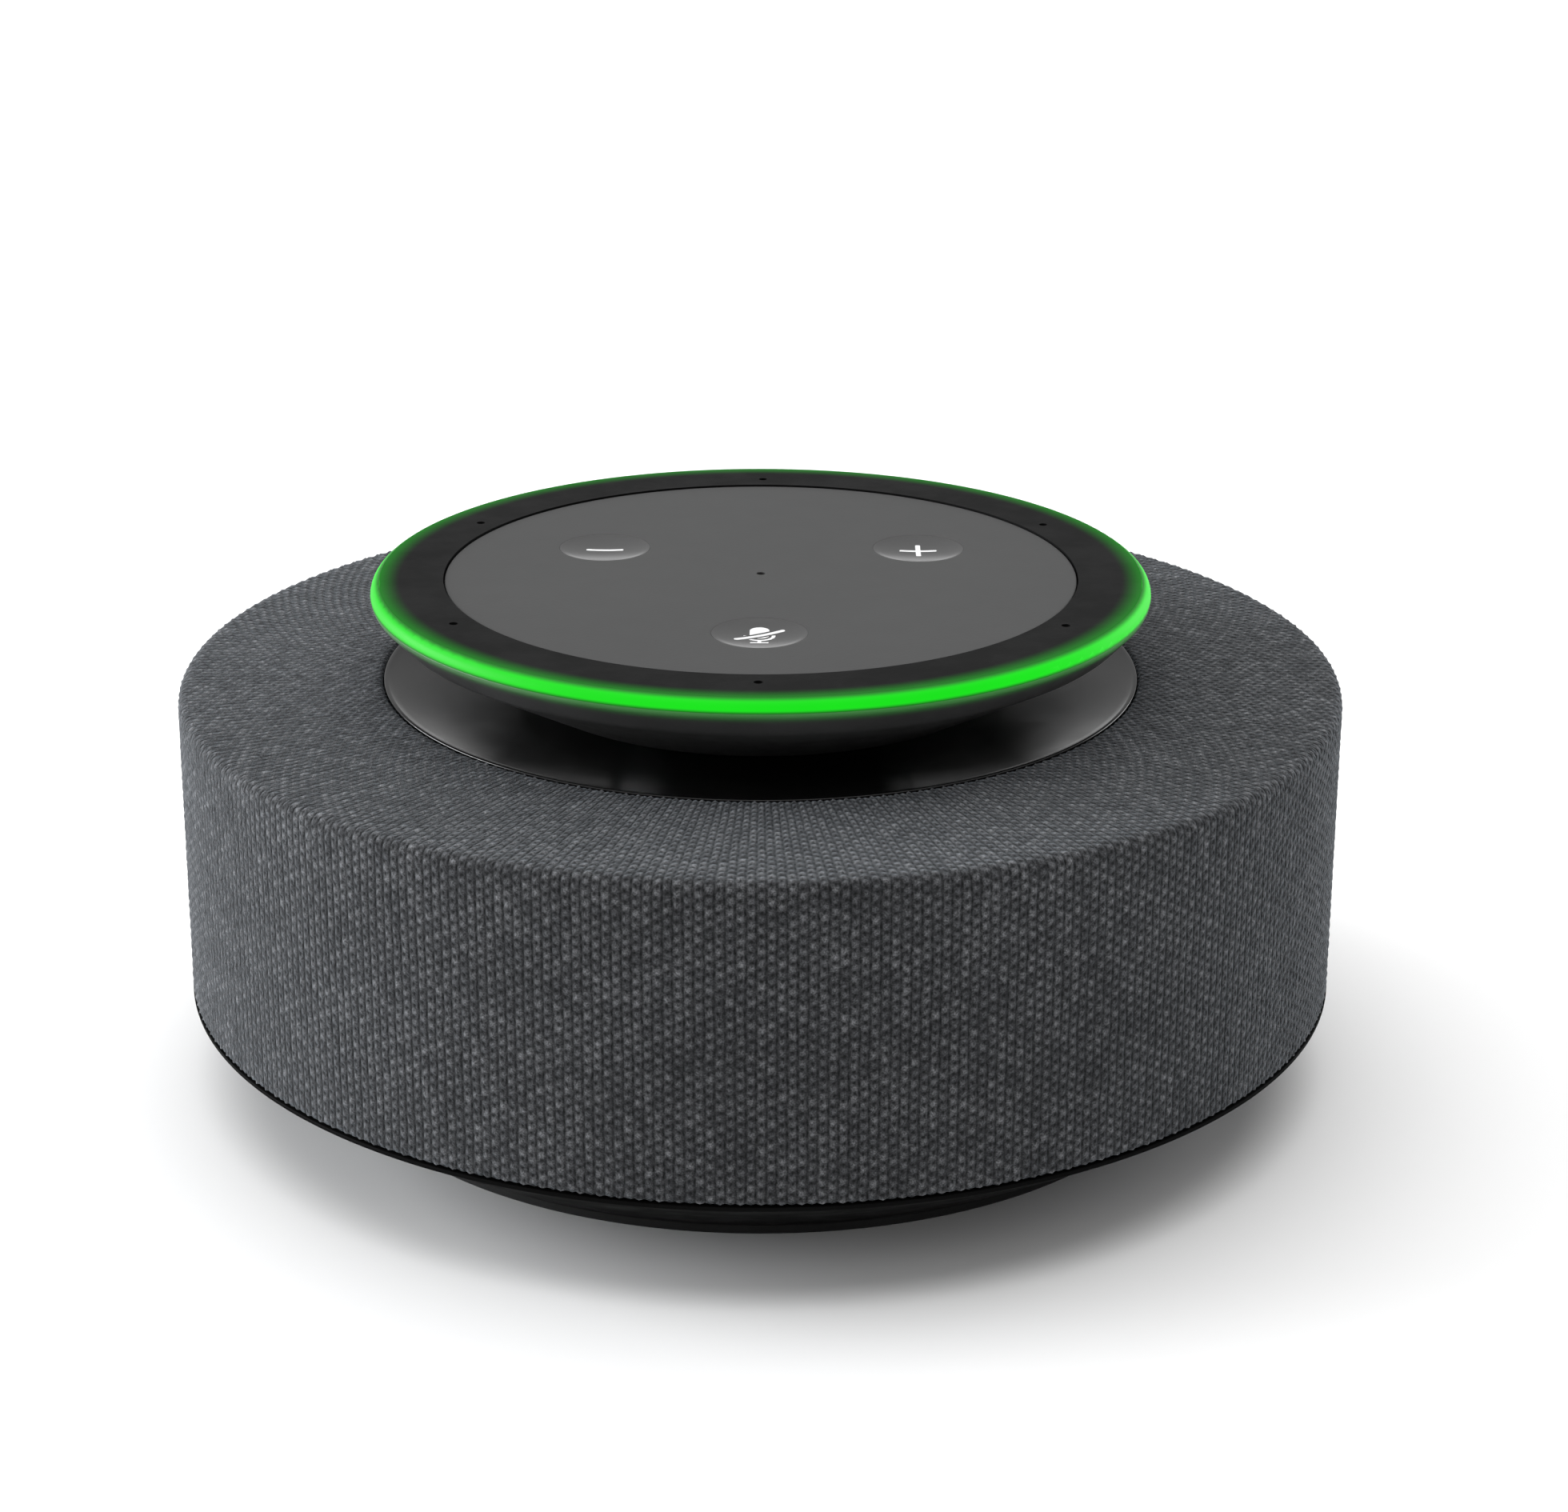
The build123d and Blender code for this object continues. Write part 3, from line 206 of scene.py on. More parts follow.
def knit():
    """Interlocked knit. U counts the wales and V the courses; every other wale is
    half a course up. In each wale a rounded head of yarn and a small eye take
    turns, legs of yarn pass round the eye, and a broken groove parts the wales.
    The colour carries painted shade: near black in the eyes and grooves, lighter on the heads."""
    g = Graph("knit_cloth")
    u, v, _ = g.split(g.node("ShaderNodeUVMap", uv_map="stitches").outputs[0])
    # The loops aren't quite regular: rows wander, and each wale sits a little high or low.
    wander = g.noise(1.0, 2, g.join(g.math("MULTIPLY", u, 0.21), g.math("MULTIPLY", v, 0.33), 1.0))
    drift = g.noise(1.0, 2, g.join(g.math("MULTIPLY", u, 0.9), g.math("MULTIPLY", v, 0.45), 7.0))
    u = g.math("MULTIPLY_ADD", wander, 0.36, g.math("SUBTRACT", u, 0.18))
    v = g.math("MULTIPLY_ADD", drift, 0.5, g.math("SUBTRACT", v, 0.25))
    wale = g.math("FLOOR", u)
    across = g.math("SUBTRACT", g.math("SUBTRACT", u, wale), 0.5)
    along = g.math("MULTIPLY_ADD", g.math("MODULO", wale, 2.0), 0.5, v)
    # up runs from -0.5 to 0.5 about the head; the eyes are at its two ends.
    course = g.math("ROUND", along)
    up = g.math("SUBTRACT", along, course)
    from_eye = g.math("SUBTRACT", 0.5, g.math("ABSOLUTE", up))

    def spot(x, wide, y, tall):
        """1 in the middle of an oval, falling smoothly to 0 outside it."""
        a, b = g.math("DIVIDE", x, wide), g.math("DIVIDE", y, tall)
        square = g.math("ADD", g.math("MULTIPLY", a, a), g.math("MULTIPLY", b, b))
        return g.math("EXPONENT", g.math("MULTIPLY", square, -1.0))

    stitch = g.join(wale, course, 0.0)
    fleck = g.speckle(stitch)
    lean = g.math("MULTIPLY_ADD", g.speckle(g.join(wale, course, 5.0)), 0.24, -0.12)
    head = spot(g.math("ADD", across, lean), 0.29, up, 0.27)
    gap = g.math("FLOOR", along)
    aside = g.math("MULTIPLY_ADD", g.speckle(g.join(wale, gap, 6.0)), 0.26, -0.13)
    wide = g.math("MULTIPLY_ADD", g.speckle(g.join(wale, gap, 8.0)), 0.12, 0.14)
    eye = spot(g.math("SUBTRACT", across, aside), wide, from_eye, 0.20)
    edge = g.math("SUBTRACT", 0.5, g.math("ABSOLUTE", across))
    swing = g.math("COSINE", g.math("MULTIPLY", up, 2 * math.pi))
    swing = g.math("MULTIPLY", swing, g.math("SIGN", across))
    reach = g.math("MULTIPLY_ADD", swing, -0.30, 0.62)
    broken = g.math("MULTIPLY_ADD", g.speckle(g.join(wale, gap, 4.0)), 0.8, 0.55)
    reach = g.math("MULTIPLY", reach, broken)
    groove = g.math("MULTIPLY", g.ramp(edge, 0.0, 0.24, 1.0, 0.0), reach)
    # Fibres of the twisted yarn.
    slope = g.math("MULTIPLY_ADD", g.math("ABSOLUTE", across), 3.2, g.math("MULTIPLY", up, 4.0))
    twist = g.math("SINE", g.math("MULTIPLY", slope, 2 * math.pi))
    fibres = g.noise(4400, 3)
    # The stitches' relief; it is also the mask of the painted shade in the colour.
    body = g.math("MULTIPLY_ADD", head, 0.62, 0.38)
    body = g.math("MULTIPLY", body, g.math("MULTIPLY_ADD", eye, -0.93, 1.0))
    body = g.math("MULTIPLY", body, g.math("SUBTRACT", 1.0, groove))
    height = g.math("MULTIPLY_ADD", twist, 0.035, g.math("MULTIPLY_ADD", fibres, 0.25, body))
    # Colour: a mixed yarn, with light and dark stretches along the courses.
    streak = g.noise(1.0, 3, g.join(g.math("MULTIPLY", u, 0.30), course, 3.0))
    patch = g.noise(1.0, 2, g.join(g.math("MULTIPLY", u, 0.05), g.math("MULTIPLY", v, 0.11), 9.0))
    tone = g.ramp(fleck, 0.0, 1.0, 0.82, 1.20, False)
    tone = g.math("MULTIPLY", tone, g.ramp(streak, 0.3, 0.7, 0.84, 1.16))
    tone = g.math("MULTIPLY", tone, g.ramp(patch, 0.3, 0.7, 0.92, 1.08))
    tone = g.math("MULTIPLY", tone, g.ramp(fibres, 0.3, 0.7, 0.45, 1.55))
    thread = g.mix(fleck, YARN_DARK, YARN_LIGHT)
    # Painted shade: the colour goes near black in the eyes and grooves and is lighter on the
    # heads, standing in for shade in the hollows of the knit.
    colour = g.mix(body, rgb(0.003, 0.0032, 0.0036), g.shade(thread, tone))
    g.set(Base_Color=colour, Roughness=0.85, Sheen_Weight=0.16, Sheen_Roughness=0.4)
    g.set(Sheen_Tint=rgb(0.80, 0.90, 1.0), Specular_IOR_Level=0.2)
    return g.bump(height, 0.30 * MM, 0.9).mat


# ------------------------------------------------------------------ finishes
def lit_ring():
    """Clear bead with lamps behind it: evenly green, dimmer at its upper and lower edges."""
    g = Graph("lit_green")
    z = g.split(g.place)["Z"]
    off = g.math("ABSOLUTE", g.math("SUBTRACT", z, glow_z))
    edge = g.ramp(off, 0.35 * MM, 0.95 * MM)
    colour = g.mix(edge, rgb(0.006, 0.77, 0.008), rgb(0.018, 0.68, 0.022))
    even = g.ramp(g.noise(60, 2), 0.3, 0.7, 0.98, 1.02)
    g.set(Base_Color=rgb(0.002, 0.01, 0.002), Roughness=0.5, Specular_IOR_Level=0.1)
    fade = g.ramp(off, 0.45 * MM, 1.0 * MM, 1.0, 0.18)
    g.set(Emission_Color=colour, Emission_Strength=g.math("MULTIPLY", even, fade))
    return g.mat


def rubber(name, value):
    g = moulded(
        name, grey(value), rough=0.75, grain=0.4 * MM, depth=0.02 * MM, Specular_IOR_Level=0.3
    )
    return g.mat


def metal(name, colour, rough):
    """Metal with a fine drawn grain."""
    g = Graph(name)
    x, y, z = g.split(g.place)
    grain = g.noise(900, 4, g.join(g.math("MULTIPLY", x, 0.08), y, z))
    g.set(
        Base_Color=g.shade(colour, g.ramp(grain, 0.3, 0.7, 0.88, 1.1)),
        Metallic=1.0,
        Roughness=g.ramp(grain, 0.3, 0.7, rough * 0.8, rough * 1.25),
    )
    return g.bump(grain, 0.006 * MM).mat


def circuit(name):
    """Solder mask over copper tracks, with small bare pads."""
    g = Graph(name)
    tracks = g.node("ShaderNodeTexBrick", {"Vector": g.place, "Scale": 420.0, "Mortar Size": 0.05})
    values = {"Vector": g.place, "Scale": 260.0}
    cells = g.node("ShaderNodeTexVoronoi", values, distance="CHEBYCHEV")
    pad = g.math("LESS_THAN", cells.outputs["Distance"], 0.12)
    mask = g.mix(tracks.outputs["Fac"], rgb(0.006, 0.050, 0.022), rgb(0.012, 0.085, 0.035))
    g.set(Base_Color=g.mix(pad, mask, rgb(0.55, 0.42, 0.20)), Roughness=0.35)
    return g.bump(tracks.outputs["Fac"], 0.02 * MM).mat


def paper(name):
    g = Graph(name)
    pulp = g.noise(1400, 5)
    g.set(Base_Color=g.shade(grey(0.035, 0.1), g.ramp(pulp, 0.3, 0.7, 0.6, 1.4)), Roughness=0.9)
    return g.bump(pulp, 0.05 * MM).mat


def woven_coil(name):
    """Enamelled copper, wound in fine turns."""
    g = Graph(name)
    turn_pitch = 0.22 * MM
    z = g.split(g.place)["Z"]
    turns = g.math("SINE", g.math("MULTIPLY", z, 2 * math.pi / turn_pitch))
    # Painted shade: the colour is darker in the grooves between the turns, following the bump.
    tone = g.ramp(turns, -1.0, 1.0, 0.7, 1.1)
    g.set(Base_Color=g.shade(rgb(0.52, 0.19, 0.07), tone), Metallic=0.8, Roughness=0.35)
    return g.bump(turns, 0.04 * MM).mat


def foam(name):
    g = Graph(name)
    cells = g.node("ShaderNodeTexVoronoi", {"Vector": g.place, "Scale": 2600.0})
    tone = g.ramp(cells.outputs["Distance"], 0.0, 0.7, 1.3, 0.5)
    g.set(Base_Color=g.shade(grey(0.045), tone), Roughness=0.95)
    return g.bump(cells.outputs["Distance"], 0.06 * MM).mat


def head_shell():
    """Satin underside of the control disc, with a painted green glow next to the ring."""
    g = moulded("shell_black", grey(0.050), rough=0.45)
    return painted_ring_glow(g, 0.15, 1.2 * MM, 2.8 * MM, 2.5).mat


def bezel():
    """Matt rim between the ring and the plate, where the painted green glow spreads further."""
    g = moulded("bezel_black", grey(0.006), rough=0.5, depth=0.008 * MM, Specular_IOR_Level=0.03)
    return painted_ring_glow(g, 0.22, 0.9 * MM, 3.6 * MM, 1.6).mat


dish_black = moulded(
    "dish_black",
    grey(0.004),
    rough=0.19,
    grain=0.9 * MM,
    depth=0.002 * MM,
    Specular_IOR_Level=0.5,
)
plate_grey = moulded(
    "plate_grey",
    grey(0.040),
    rough=0.50,
    grain=0.35 * MM,
    depth=0.010 * MM,
    uneven=0.015,
    Specular_IOR_Level=0.15,
)
key_grey = moulded(
    "key_grey",
    grey(0.028),
    rough=0.15,
    grain=0.35 * MM,
    depth=0.001 * MM,
    uneven=0.015,
    Specular_IOR_Level=0.9,
)
finishes = {
    "knit_fabric": knit(),
    "base_black": moulded("base_black", grey(0.003), rough=0.6, Specular_IOR_Level=0.02).mat,
    "dish_gloss": dish_black.mat,
    "shell_black": head_shell(),
    "bezel_black": bezel(),
    "plate_grey": plate_grey.mat,
    "key_grey": key_grey.mat,
    "icon_white": moulded("icon_white", grey(0.60), 0.4, depth=0.004 * MM, uneven=0.03).mat,
    "light_green": lit_ring(),
    "rubber_black": rubber("rubber_black", 0.010),
    "inner_plastic": moulded("inner_plastic", grey(0.02), rough=0.55).mat,
    "white_plastic": moulded("white_plastic", grey(0.7), rough=0.4).mat,
    "steel": metal("steel", grey(0.45), 0.32),
    "tin": metal("tin", grey(0.62), 0.28),
    "aluminium": metal("aluminium", grey(0.72), 0.38),
    "board_green": circuit("board_green"),
    "chip_black": moulded("chip_black", grey(0.016), rough=0.6, grain=0.25 * MM).mat,
    "foam": foam("foam"),
    "paper_cone": paper("paper_cone"),
    "ferrite": moulded("ferrite", grey(0.05), 0.7, grain=0.3 * MM, depth=0.03 * MM).mat,
    "copper": woven_coil("copper"),
    "flex_film": moulded("flex_film", rgb(0.30, 0.13, 0.03), rough=0.3).mat,
    "wire_red": moulded("wire_red", rgb(0.35, 0.02, 0.02), rough=0.45).mat,
}

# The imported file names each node's material after its slot.
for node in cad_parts.values():
    node.material_slots[0].material = finishes[node.data.materials[0].name.split(".")[0]]


# ------------------------------------------------------------------ meshes
def made(name, points, faces, slot, body="hub", angle=32, closed=False):
    """A piece from points and faces, smooth except at edges sharper than angle. Where
    it is closed its faces are turned outwards."""
    mesh = bpy.data.meshes.new(name)
    mesh.from_pydata([tuple(p) for p in points], [], faces)
    mesh.validate()
    if closed:
        work = bmesh.new()
        work.from_mesh(mesh)
        bmesh.ops.recalc_face_normals(work, faces=work.faces)
        work.to_mesh(mesh)
        work.free()
    mesh.shade_smooth()
    mesh.set_sharp_from_angle(angle=math.radians(angle))
    piece = bpy.data.objects.new(name, mesh)
    bpy.context.scene.collection.objects.link(piece)
    mesh.materials.append(finishes[slot])
    if body:
        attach(piece, body)
    return piece


def eased(corners, steps=5):
    """(r, z, rounding) corners in metres as a line of (r, z) points, each corner rounded."""
    line, count = [], len(corners)
    for i, (r, z, ease) in enumerate(corners):
        here = np.array((r, z))
        if ease <= 0:
            line.append(here)
            continue
        before = np.array(corners[i - 1][:2]) - here
        after = np.array(corners[(i + 1) % count][:2]) - here
        start = here + before / np.linalg.norm(before) * ease
        end = here + after / np.linalg.norm(after) * ease
        for t in np.linspace(0, 1, steps):
            line.append((1 - t) ** 2 * start + 2 * t * (1 - t) * here + t**2 * end)
    return line


def ring(centre, r, z, turns):
    """Points round an upright axis."""
    a = np.arange(turns) * 2 * math.pi / turns
    return np.stack([centre[0] + r * np.cos(a), centre[1] + r * np.sin(a), np.full(turns, z)], 1)


def lathe(name, line, slot, body="hub", centre=(0.0, 0.0), turns=320, closed=True, angle=32):
    """Turns a line of (r, z) round an upright axis. A point on the axis is one point.
    A closed line joins its last point to its first."""
    points, rings = [], []
    for r, z in line:
        count = turns if r > 0 else 1
        rings.append(range(len(points), len(points) + count))
        points.extend(ring(centre, r, z, count))
    faces = []
    pairs = list(zip(rings, rings[1:])) + ([(rings[-1], rings[0])] if closed else [])
    for a, b in pairs:
        for k in range(turns):
            n = (k + 1) % turns
            if len(a) == 1:
                faces.append((a[0], b[n], b[k]))
            elif len(b) == 1:
                faces.append((a[k], a[n], b[0]))
            else:
                faces.append((a[k], a[n], b[n], b[k]))
    return made(name, points, faces, slot, body, angle, closed)


def holed_plate(name, outlines, slot):
    """A plate with holes. The first outline is its edge and the others its holes; each
    is (centre, turns, line), and its line of (r, z) goes from the top face to the bottom."""
    just_inside, merge_under = 0.9995, 1e-9
    points, faces, ends = [], [], []
    for centre, turns, line in outlines:
        starts = []
        for r, z in line:
            starts.append(len(points))
            points.extend(ring(centre, r, z, turns))
        for a, b in zip(starts, starts[1:]):
            for k in range(turns):
                n = (k + 1) % turns
                faces.append((a + k, a + n, b + n, b + k))
        top_end, low_end = (starts[0], line[0][0]), (starts[-1], line[-1][0])
        ends.append((Vector(centre), turns, (top_end, low_end)))
    for side in (0, 1):
        index, edges, holes = [], [], []
        for centre, turns, side_ends in ends:
            first, r = side_ends[side]
            base = len(index)
            index += range(first, first + turns)
            edges += [(base + k, base + (k + 1) % turns) for k in range(turns)]
            holes.append((centre, r * just_inside))
        flat = [Vector(points[i][:2]) for i in index]
        corners, _, cells, source, _, _ = delaunay_2d_cdt(flat, edges, [], 0, merge_under)
        for cell in cells:
            middle = sum((corners[c] for c in cell), Vector((0, 0))) / len(cell)
            if not any((middle - centre).length < r for centre, r in holes[1:]):
                faces.append(tuple(index[source[c][0]] for c in cell))
    return made(name, points, faces, slot, closed=True)


# ------------------------------------------------------------------ knitted sleeve
def sleeve_line():
    """The sleeve's outline as (r, z), from inside the hem up over the rim to the dish."""
    fold_round, hem_round = 0.4 * MM, 0.5 * MM
    rim_round, edge_round = 1.75 * MM, 0.325 * MM
    inner, tuck = dish_r + 0.04 * MM, 1.1 * MM
    corners = [
        (body_r - tuck, hem + 0.5 * MM, 0),
        (body_r - 0.95 * MM, hem, fold_round),
        (body_r, hem, hem_round),
        (body_r, body_top, rim_round),
        (inner, body_top, edge_round),
        (inner, body_top - tuck, 0),
    ]
    return np.array(eased(corners, 16))


def sleeve():
    """One knitted sheet, two columns of points to a wale and two rows to a course, with
    the stitches' relief in it and an opening at the back for the sockets."""
    line = sleeve_line()
    run = np.concatenate([[0], np.cumsum(np.linalg.norm(np.diff(line, axis=0), axis=1))])
    rows = int(round(run[-1] / (COURSE / 2)))
    at = np.linspace(0, run[-1], rows + 1)
    r, z = np.interp(at, run, line[:, 0]), np.interp(at, run, line[:, 1])
    slope = np.stack([np.gradient(r, at), np.gradient(z, at)], 1)
    slope /= np.linalg.norm(slope, axis=1)[:, None]
    out_r, out_z = slope[:, 1], -slope[:, 0]
    columns = 2 * WALES
    i, j = np.meshgrid(np.arange(columns), np.arange(rows + 1))
    odd, wale = i % 2, i // 2
    crown = (j + wale) % 2 == 0
    # Proud at the heads of the stitches, lower at the eyes, lowest between the wales.
    eye_low, groove_low, uneven = -0.13, -0.24, 0.018
    relief = np.where(odd == 1, np.where(crown, 0.0, eye_low), groove_low) * MM
    relief = relief + rng.normal(0, uneven, relief.shape) * MM
    angle = 2 * math.pi * i / columns
    # The opening for the sockets: the nearest columns and rows move to its edges. The
    # panel is wider than the opening by a flange all round, which is behind the cloth.
    panel_low, panel_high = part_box("port_panel")
    flange, edge_gap = 1.5 * MM, 0.12 * MM
    window_x = panel_high.x - flange + edge_gap
    window_z = (panel_low.z + flange - edge_gap, panel_high.z - flange + edge_gap)
    half = math.asin(window_x / body_r)
    step = 2 * math.pi / columns
    back = math.pi / 2
    right, left = round((back - half) / step), round((back + half) / step)
    # Rows of the hem and the rim are put out of reach, so both edges are on the wall.
    off_wall = np.where(r < body_r - MM, 100.0, 0.0)
    row_low, row_high = (int(np.argmin(abs(z + off_wall - edge))) for edge in window_z)
    inside_rows = slice(row_low, row_high + 1)
    angle[inside_rows, right], angle[inside_rows, left] = back - half, back + half
    zz = np.repeat(z[:, None], columns, 1)
    zz[row_low, right : left + 1], zz[row_high, right : left + 1] = window_z
    rr = r[:, None] + out_r[:, None] * relief
    zz = zz + out_z[:, None] * relief
    points = np.stack([rr * np.cos(angle), rr * np.sin(angle), zz], -1).reshape(-1, 3)
    faces, stitches = [], []
    for row in range(rows):
        for col in range(columns):
            if row_low <= row < row_high and right <= col < left:
                continue
            nxt = (col + 1) % columns
            a, b = row * columns, (row + 1) * columns
            faces.append((a + col, a + nxt, b + nxt, b + col))
            u0, u1, v0, v1 = col / 2, (col + 1) / 2, row / 2, (row + 1) / 2
            stitches += [u0, v0, u1, v0, u1, v1, u0, v1]
    # The cut edge of the opening turns in towards the panel.
    rim = [(row_low, col) for col in range(right, left)]
    rim += [(row, left) for row in range(row_low, row_high)]
    rim += [(row_high, col) for col in range(left, right, -1)]
    rim += [(row, right) for row in range(row_high, row_low, -1)]
    first, turn = len(points), 1.1 * MM
    turned = points[[row * columns + col for row, col in rim]].copy()
    turned[:, :2] *= 1 - turn / body_r
    points = np.concatenate([points, turned])
    for k, (row, col) in enumerate(rim):
        n = (k + 1) % len(rim)
        row2, col2 = rim[n]
        faces.append((row * columns + col, row2 * columns + col2, first + n, first + k))
        stitches += [col / 2, row / 2, col2 / 2, row2 / 2]
        stitches += [col2 / 2, row2 / 2 + 0.5, col / 2, row / 2 + 0.5]
    piece = made("knit_sleeve", points, faces, "knit_fabric", angle=180)
    layer = piece.data.uv_layers.new(name="stitches")
    layer.data.foreach_set("uv", np.array(stitches, np.float32))
    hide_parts("fabric_sleeve")


sleeve()

# ------------------------------------------------------------------ dish and base
dish_depth, dish_flat_r, dish_slope_r, neck_r = 3.4 * MM, 24 * MM, 51.5 * MM, 20 * MM
dish_floor = dish_top - dish_depth
edge_drop, edge_width = 0.05 * MM, 0.25 * MM


def bowl_height(r, start, low, end, high):
    """Height of an arc that leaves the flat floor at start and reaches (end, high)."""
    run, rise = end - start, high - low
    ball = (run**2 + rise**2) / (2 * rise)
    return low + ball - math.sqrt(ball**2 - (r - start) ** 2)


slope = [
    (r, bowl_height(r, dish_flat_r, dish_floor, dish_slope_r, dish_top - edge_drop))
    for r in np.linspace(dish_slope_r - edge_width, dish_flat_r, 40)
]
outside, skirt = dish_r - 0.02 * MM, 1.5 * MM
lip = eased(
    [
        (outside, dish_top - skirt, 0),
        (outside, dish_top, 0.15 * MM),
        (dish_slope_r, dish_top, 0.22 * MM),
        (*slope[0], 0),
    ]
)
bore_deep = 0.6 * MM
bore = [(neck_r + 0.15 * MM, dish_floor), (neck_r + 0.05 * MM, dish_floor - bore_deep)]
dish = lathe("gloss_dish", lip + slope[1:] + bore, "dish_gloss", closed=False, angle=50)
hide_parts("acoustic_dish")

# The tray's outside only: from over the foot ring up the flare to the lip under the
# sleeve. Inside the foot ring it is open.
base_r, foot_r, foot_top = radius("base_tray"), radius("foot_ring"), top("foot_ring")
lip_r, lip_top, lip_t = base_r - 0.02 * MM, hem - 0.05 * MM, 0.5 * MM
lip_low, lip_wide = lip_top - lip_t, 2.9 * MM
over_foot = 6 * MM
tray = lathe(
    "base_shell",
    eased(
        [
            (foot_r - over_foot, foot_top, 0),
            (foot_r + 0.5 * MM, foot_top, 0.5 * MM),
            (base_r - 0.6 * MM, lip_low - 0.4 * MM, 0.2 * MM),
            (lip_r, lip_low, 0.15 * MM),
            (lip_r, lip_top, 0.12 * MM),
            (base_r - lip_wide, lip_top, 0),
        ]
    ),
    "base_black",
    closed=False,
)
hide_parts("base_tray")

# ------------------------------------------------------------------ control disc
crease_r, crease_z, hub_r, hub_t = 50.2 * MM, 65.0 * MM, 33.0 * MM, 1.5 * MM
thread_r = 16.2 * MM
hub_high = hub_low + hub_t
rim_r, rim_low = glow_r - 0.05 * MM, bowl_top - 0.65 * MM
seat_r, seat_deep = rim_r - 1.8 * MM, 0.45 * MM
inner_r, inner_z = glow_r - 4.45 * MM, bowl_top - 3.25 * MM
shell = lathe(
    "disc_shell",
    eased(
        [
            (thread_r, hub_low, 0),
            (hub_r, hub_low, 0.5 * MM),
            (crease_r, crease_z, 0.9 * MM),
            (rim_r - 0.1 * MM, rim_low, 0.3 * MM),
            (rim_r, bowl_top, 0.12 * MM),
            (seat_r, bowl_top, 0),
            (seat_r, bowl_top - seat_deep, 0),
            (inner_r, inner_z, 0),
            (hub_r - 0.5 * MM, hub_high, 0),
            (thread_r, hub_high, 0),
        ],
        8,
    ),
    "shell_black",
)
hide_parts("head_lower_shell")

# Each key's finger dish runs out smoothly into the plate; the seam is in the slope.
dish_ball, dish_deep = 45.7 * MM, 0.47 * MM
blend_in, blend_out, seam_r, seam_gap = 5.4 * MM, 6.7 * MM, 6.36 * MM, 0.015 * MM


def finger_dish(r):
    """Height of the finger dish over the plate at a distance from the key's axis."""
    if r <= blend_in:
        return r**2 / (2 * dish_ball) - dish_deep
    start, slope_in = finger_dish(blend_in), blend_in / dish_ball
    run = blend_out - blend_in
    t = (r - blend_in) / run
    return start * (2 * t**3 - 3 * t**2 + 1) + slope_in * run * (t**3 - 2 * t**2 + t)


def down_the_dish(start, end, steps):
    return [(r, plate_top + finger_dish(r)) for r in np.linspace(start, end, steps)]


keys = ("volume_down", "volume_up", "mic_mute")
plate_low = foot("top_plate")
flange_top = plate_low - 0.05 * MM
flange_low = flange_top - 0.7 * MM
wall, post_r = seam_r - seam_gap, 1.6 * MM
key_centres = {}
for key in keys:
    key_low, key_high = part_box(key + "_key")
    key_centres[key] = ((key_low.x + key_high.x) / 2, (key_low.y + key_high.y) / 2)
    flange_r = (key_high.x - key_low.x) / 2
    cap = lathe(
        key + "_cap",
        [(0, plate_top - dish_deep)]
        + down_the_dish(0.5 * MM, wall, 40)
        + [
            (wall, flange_top),
            (flange_r, flange_top),
            (flange_r, flange_low),
            (post_r, flange_low),
            (post_r, key_low.z),
            (0, key_low.z),
        ],
        "key_grey",
        body=key,
        centre=key_centres[key],
        turns=128,
        closed=False,
        angle=40,
    )
    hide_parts(key + "_key")

edge_round = 0.2 * MM
edge_line = eased(
    [
        (plate_r - 3 * edge_round, plate_top, 0),
        (plate_r, plate_top, edge_round),
        (plate_r, plate_low, 0),
    ]
)
hole_r = seam_r + seam_gap
hole_line = down_the_dish(blend_out, hole_r, 8) + [(hole_r, plate_low)]
mic_r, mic_bevel = 0.6 * MM, 0.06 * MM
mic_line = [(mic_r + mic_bevel, plate_top), (mic_r, plate_top - mic_bevel), (mic_r, plate_low)]
key_holes = [(key_centres[key], 128, hole_line) for key in keys]
outlines = [((0, 0), 320, edge_line), ((0, 0), 32, mic_line)] + key_holes
plate = holed_plate("plate", outlines, "plate_grey")
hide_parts("top_plate")

# ------------------------------------------------------------------ driver's spider
# One sheet of corrugated cloth from the basket to the coil. It is slightly cupped, so
# that its outer edge stays with the basket while its inner edge follows the coil.
spider_low, spider_r = foot("driver_spider"), radius("driver_spider")
cup_low, cup_inner = spider_low + 0.05 * MM, radius("voice_coil") + 0.05 * MM
cup_rise, wave_high, waves = 0.60 * MM, 0.06 * MM, 5
cup_line = []
for share in np.linspace(0, 1, 91):
    wave = wave_high * math.sin(2 * math.pi * waves * share) * math.sin(math.pi * share)
    r = spider_r + (cup_inner - spider_r) * share
    cup_line.append((r, cup_low + cup_rise * share + wave))
spider = lathe("spider_cloth", cup_line, "copper", body=None, turns=128, closed=False, angle=60)
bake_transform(spider)
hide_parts("driver_spider")

# ------------------------------------------------------------------ floor, light, camera
floor_mesh = bpy.data.meshes.new("floor")
reach = 6.0
corners = [(x * reach, y * reach, 0) for x, y in ((-1, -1), (1, -1), (1, 1), (-1, 1))]
floor_mesh.from_pydata(corners, [], [(0, 1, 2, 3)])
floor = bpy.data.objects.new("floor", floor_mesh)
bpy.context.scene.collection.objects.link(floor)
ground = Graph("paper_sweep")
clouds = ground.ramp(ground.noise(2.0, 2), 0.3, 0.7, 0.99, 1.01)
ground.set(Base_Color=ground.shade(grey(0.74), clouds), Roughness=0.9, Specular_IOR_Level=0.0)
floor_mesh.materials.append(ground.mat)

world = bpy.data.worlds.new("studio")
bpy.context.scene.world = world
world.use_nodes = True
sky = world.node_tree
backdrop = sky.nodes["Background"]
way = sky.nodes.new("ShaderNodeTexCoord")
parts = sky.nodes.new("ShaderNodeSeparateXYZ")
seen = sky.nodes.new("ShaderNodeLightPath")
choose = sky.nodes.new("ShaderNodeMix")
sky.links.new(way.outputs["Generated"], parts.inputs[0])


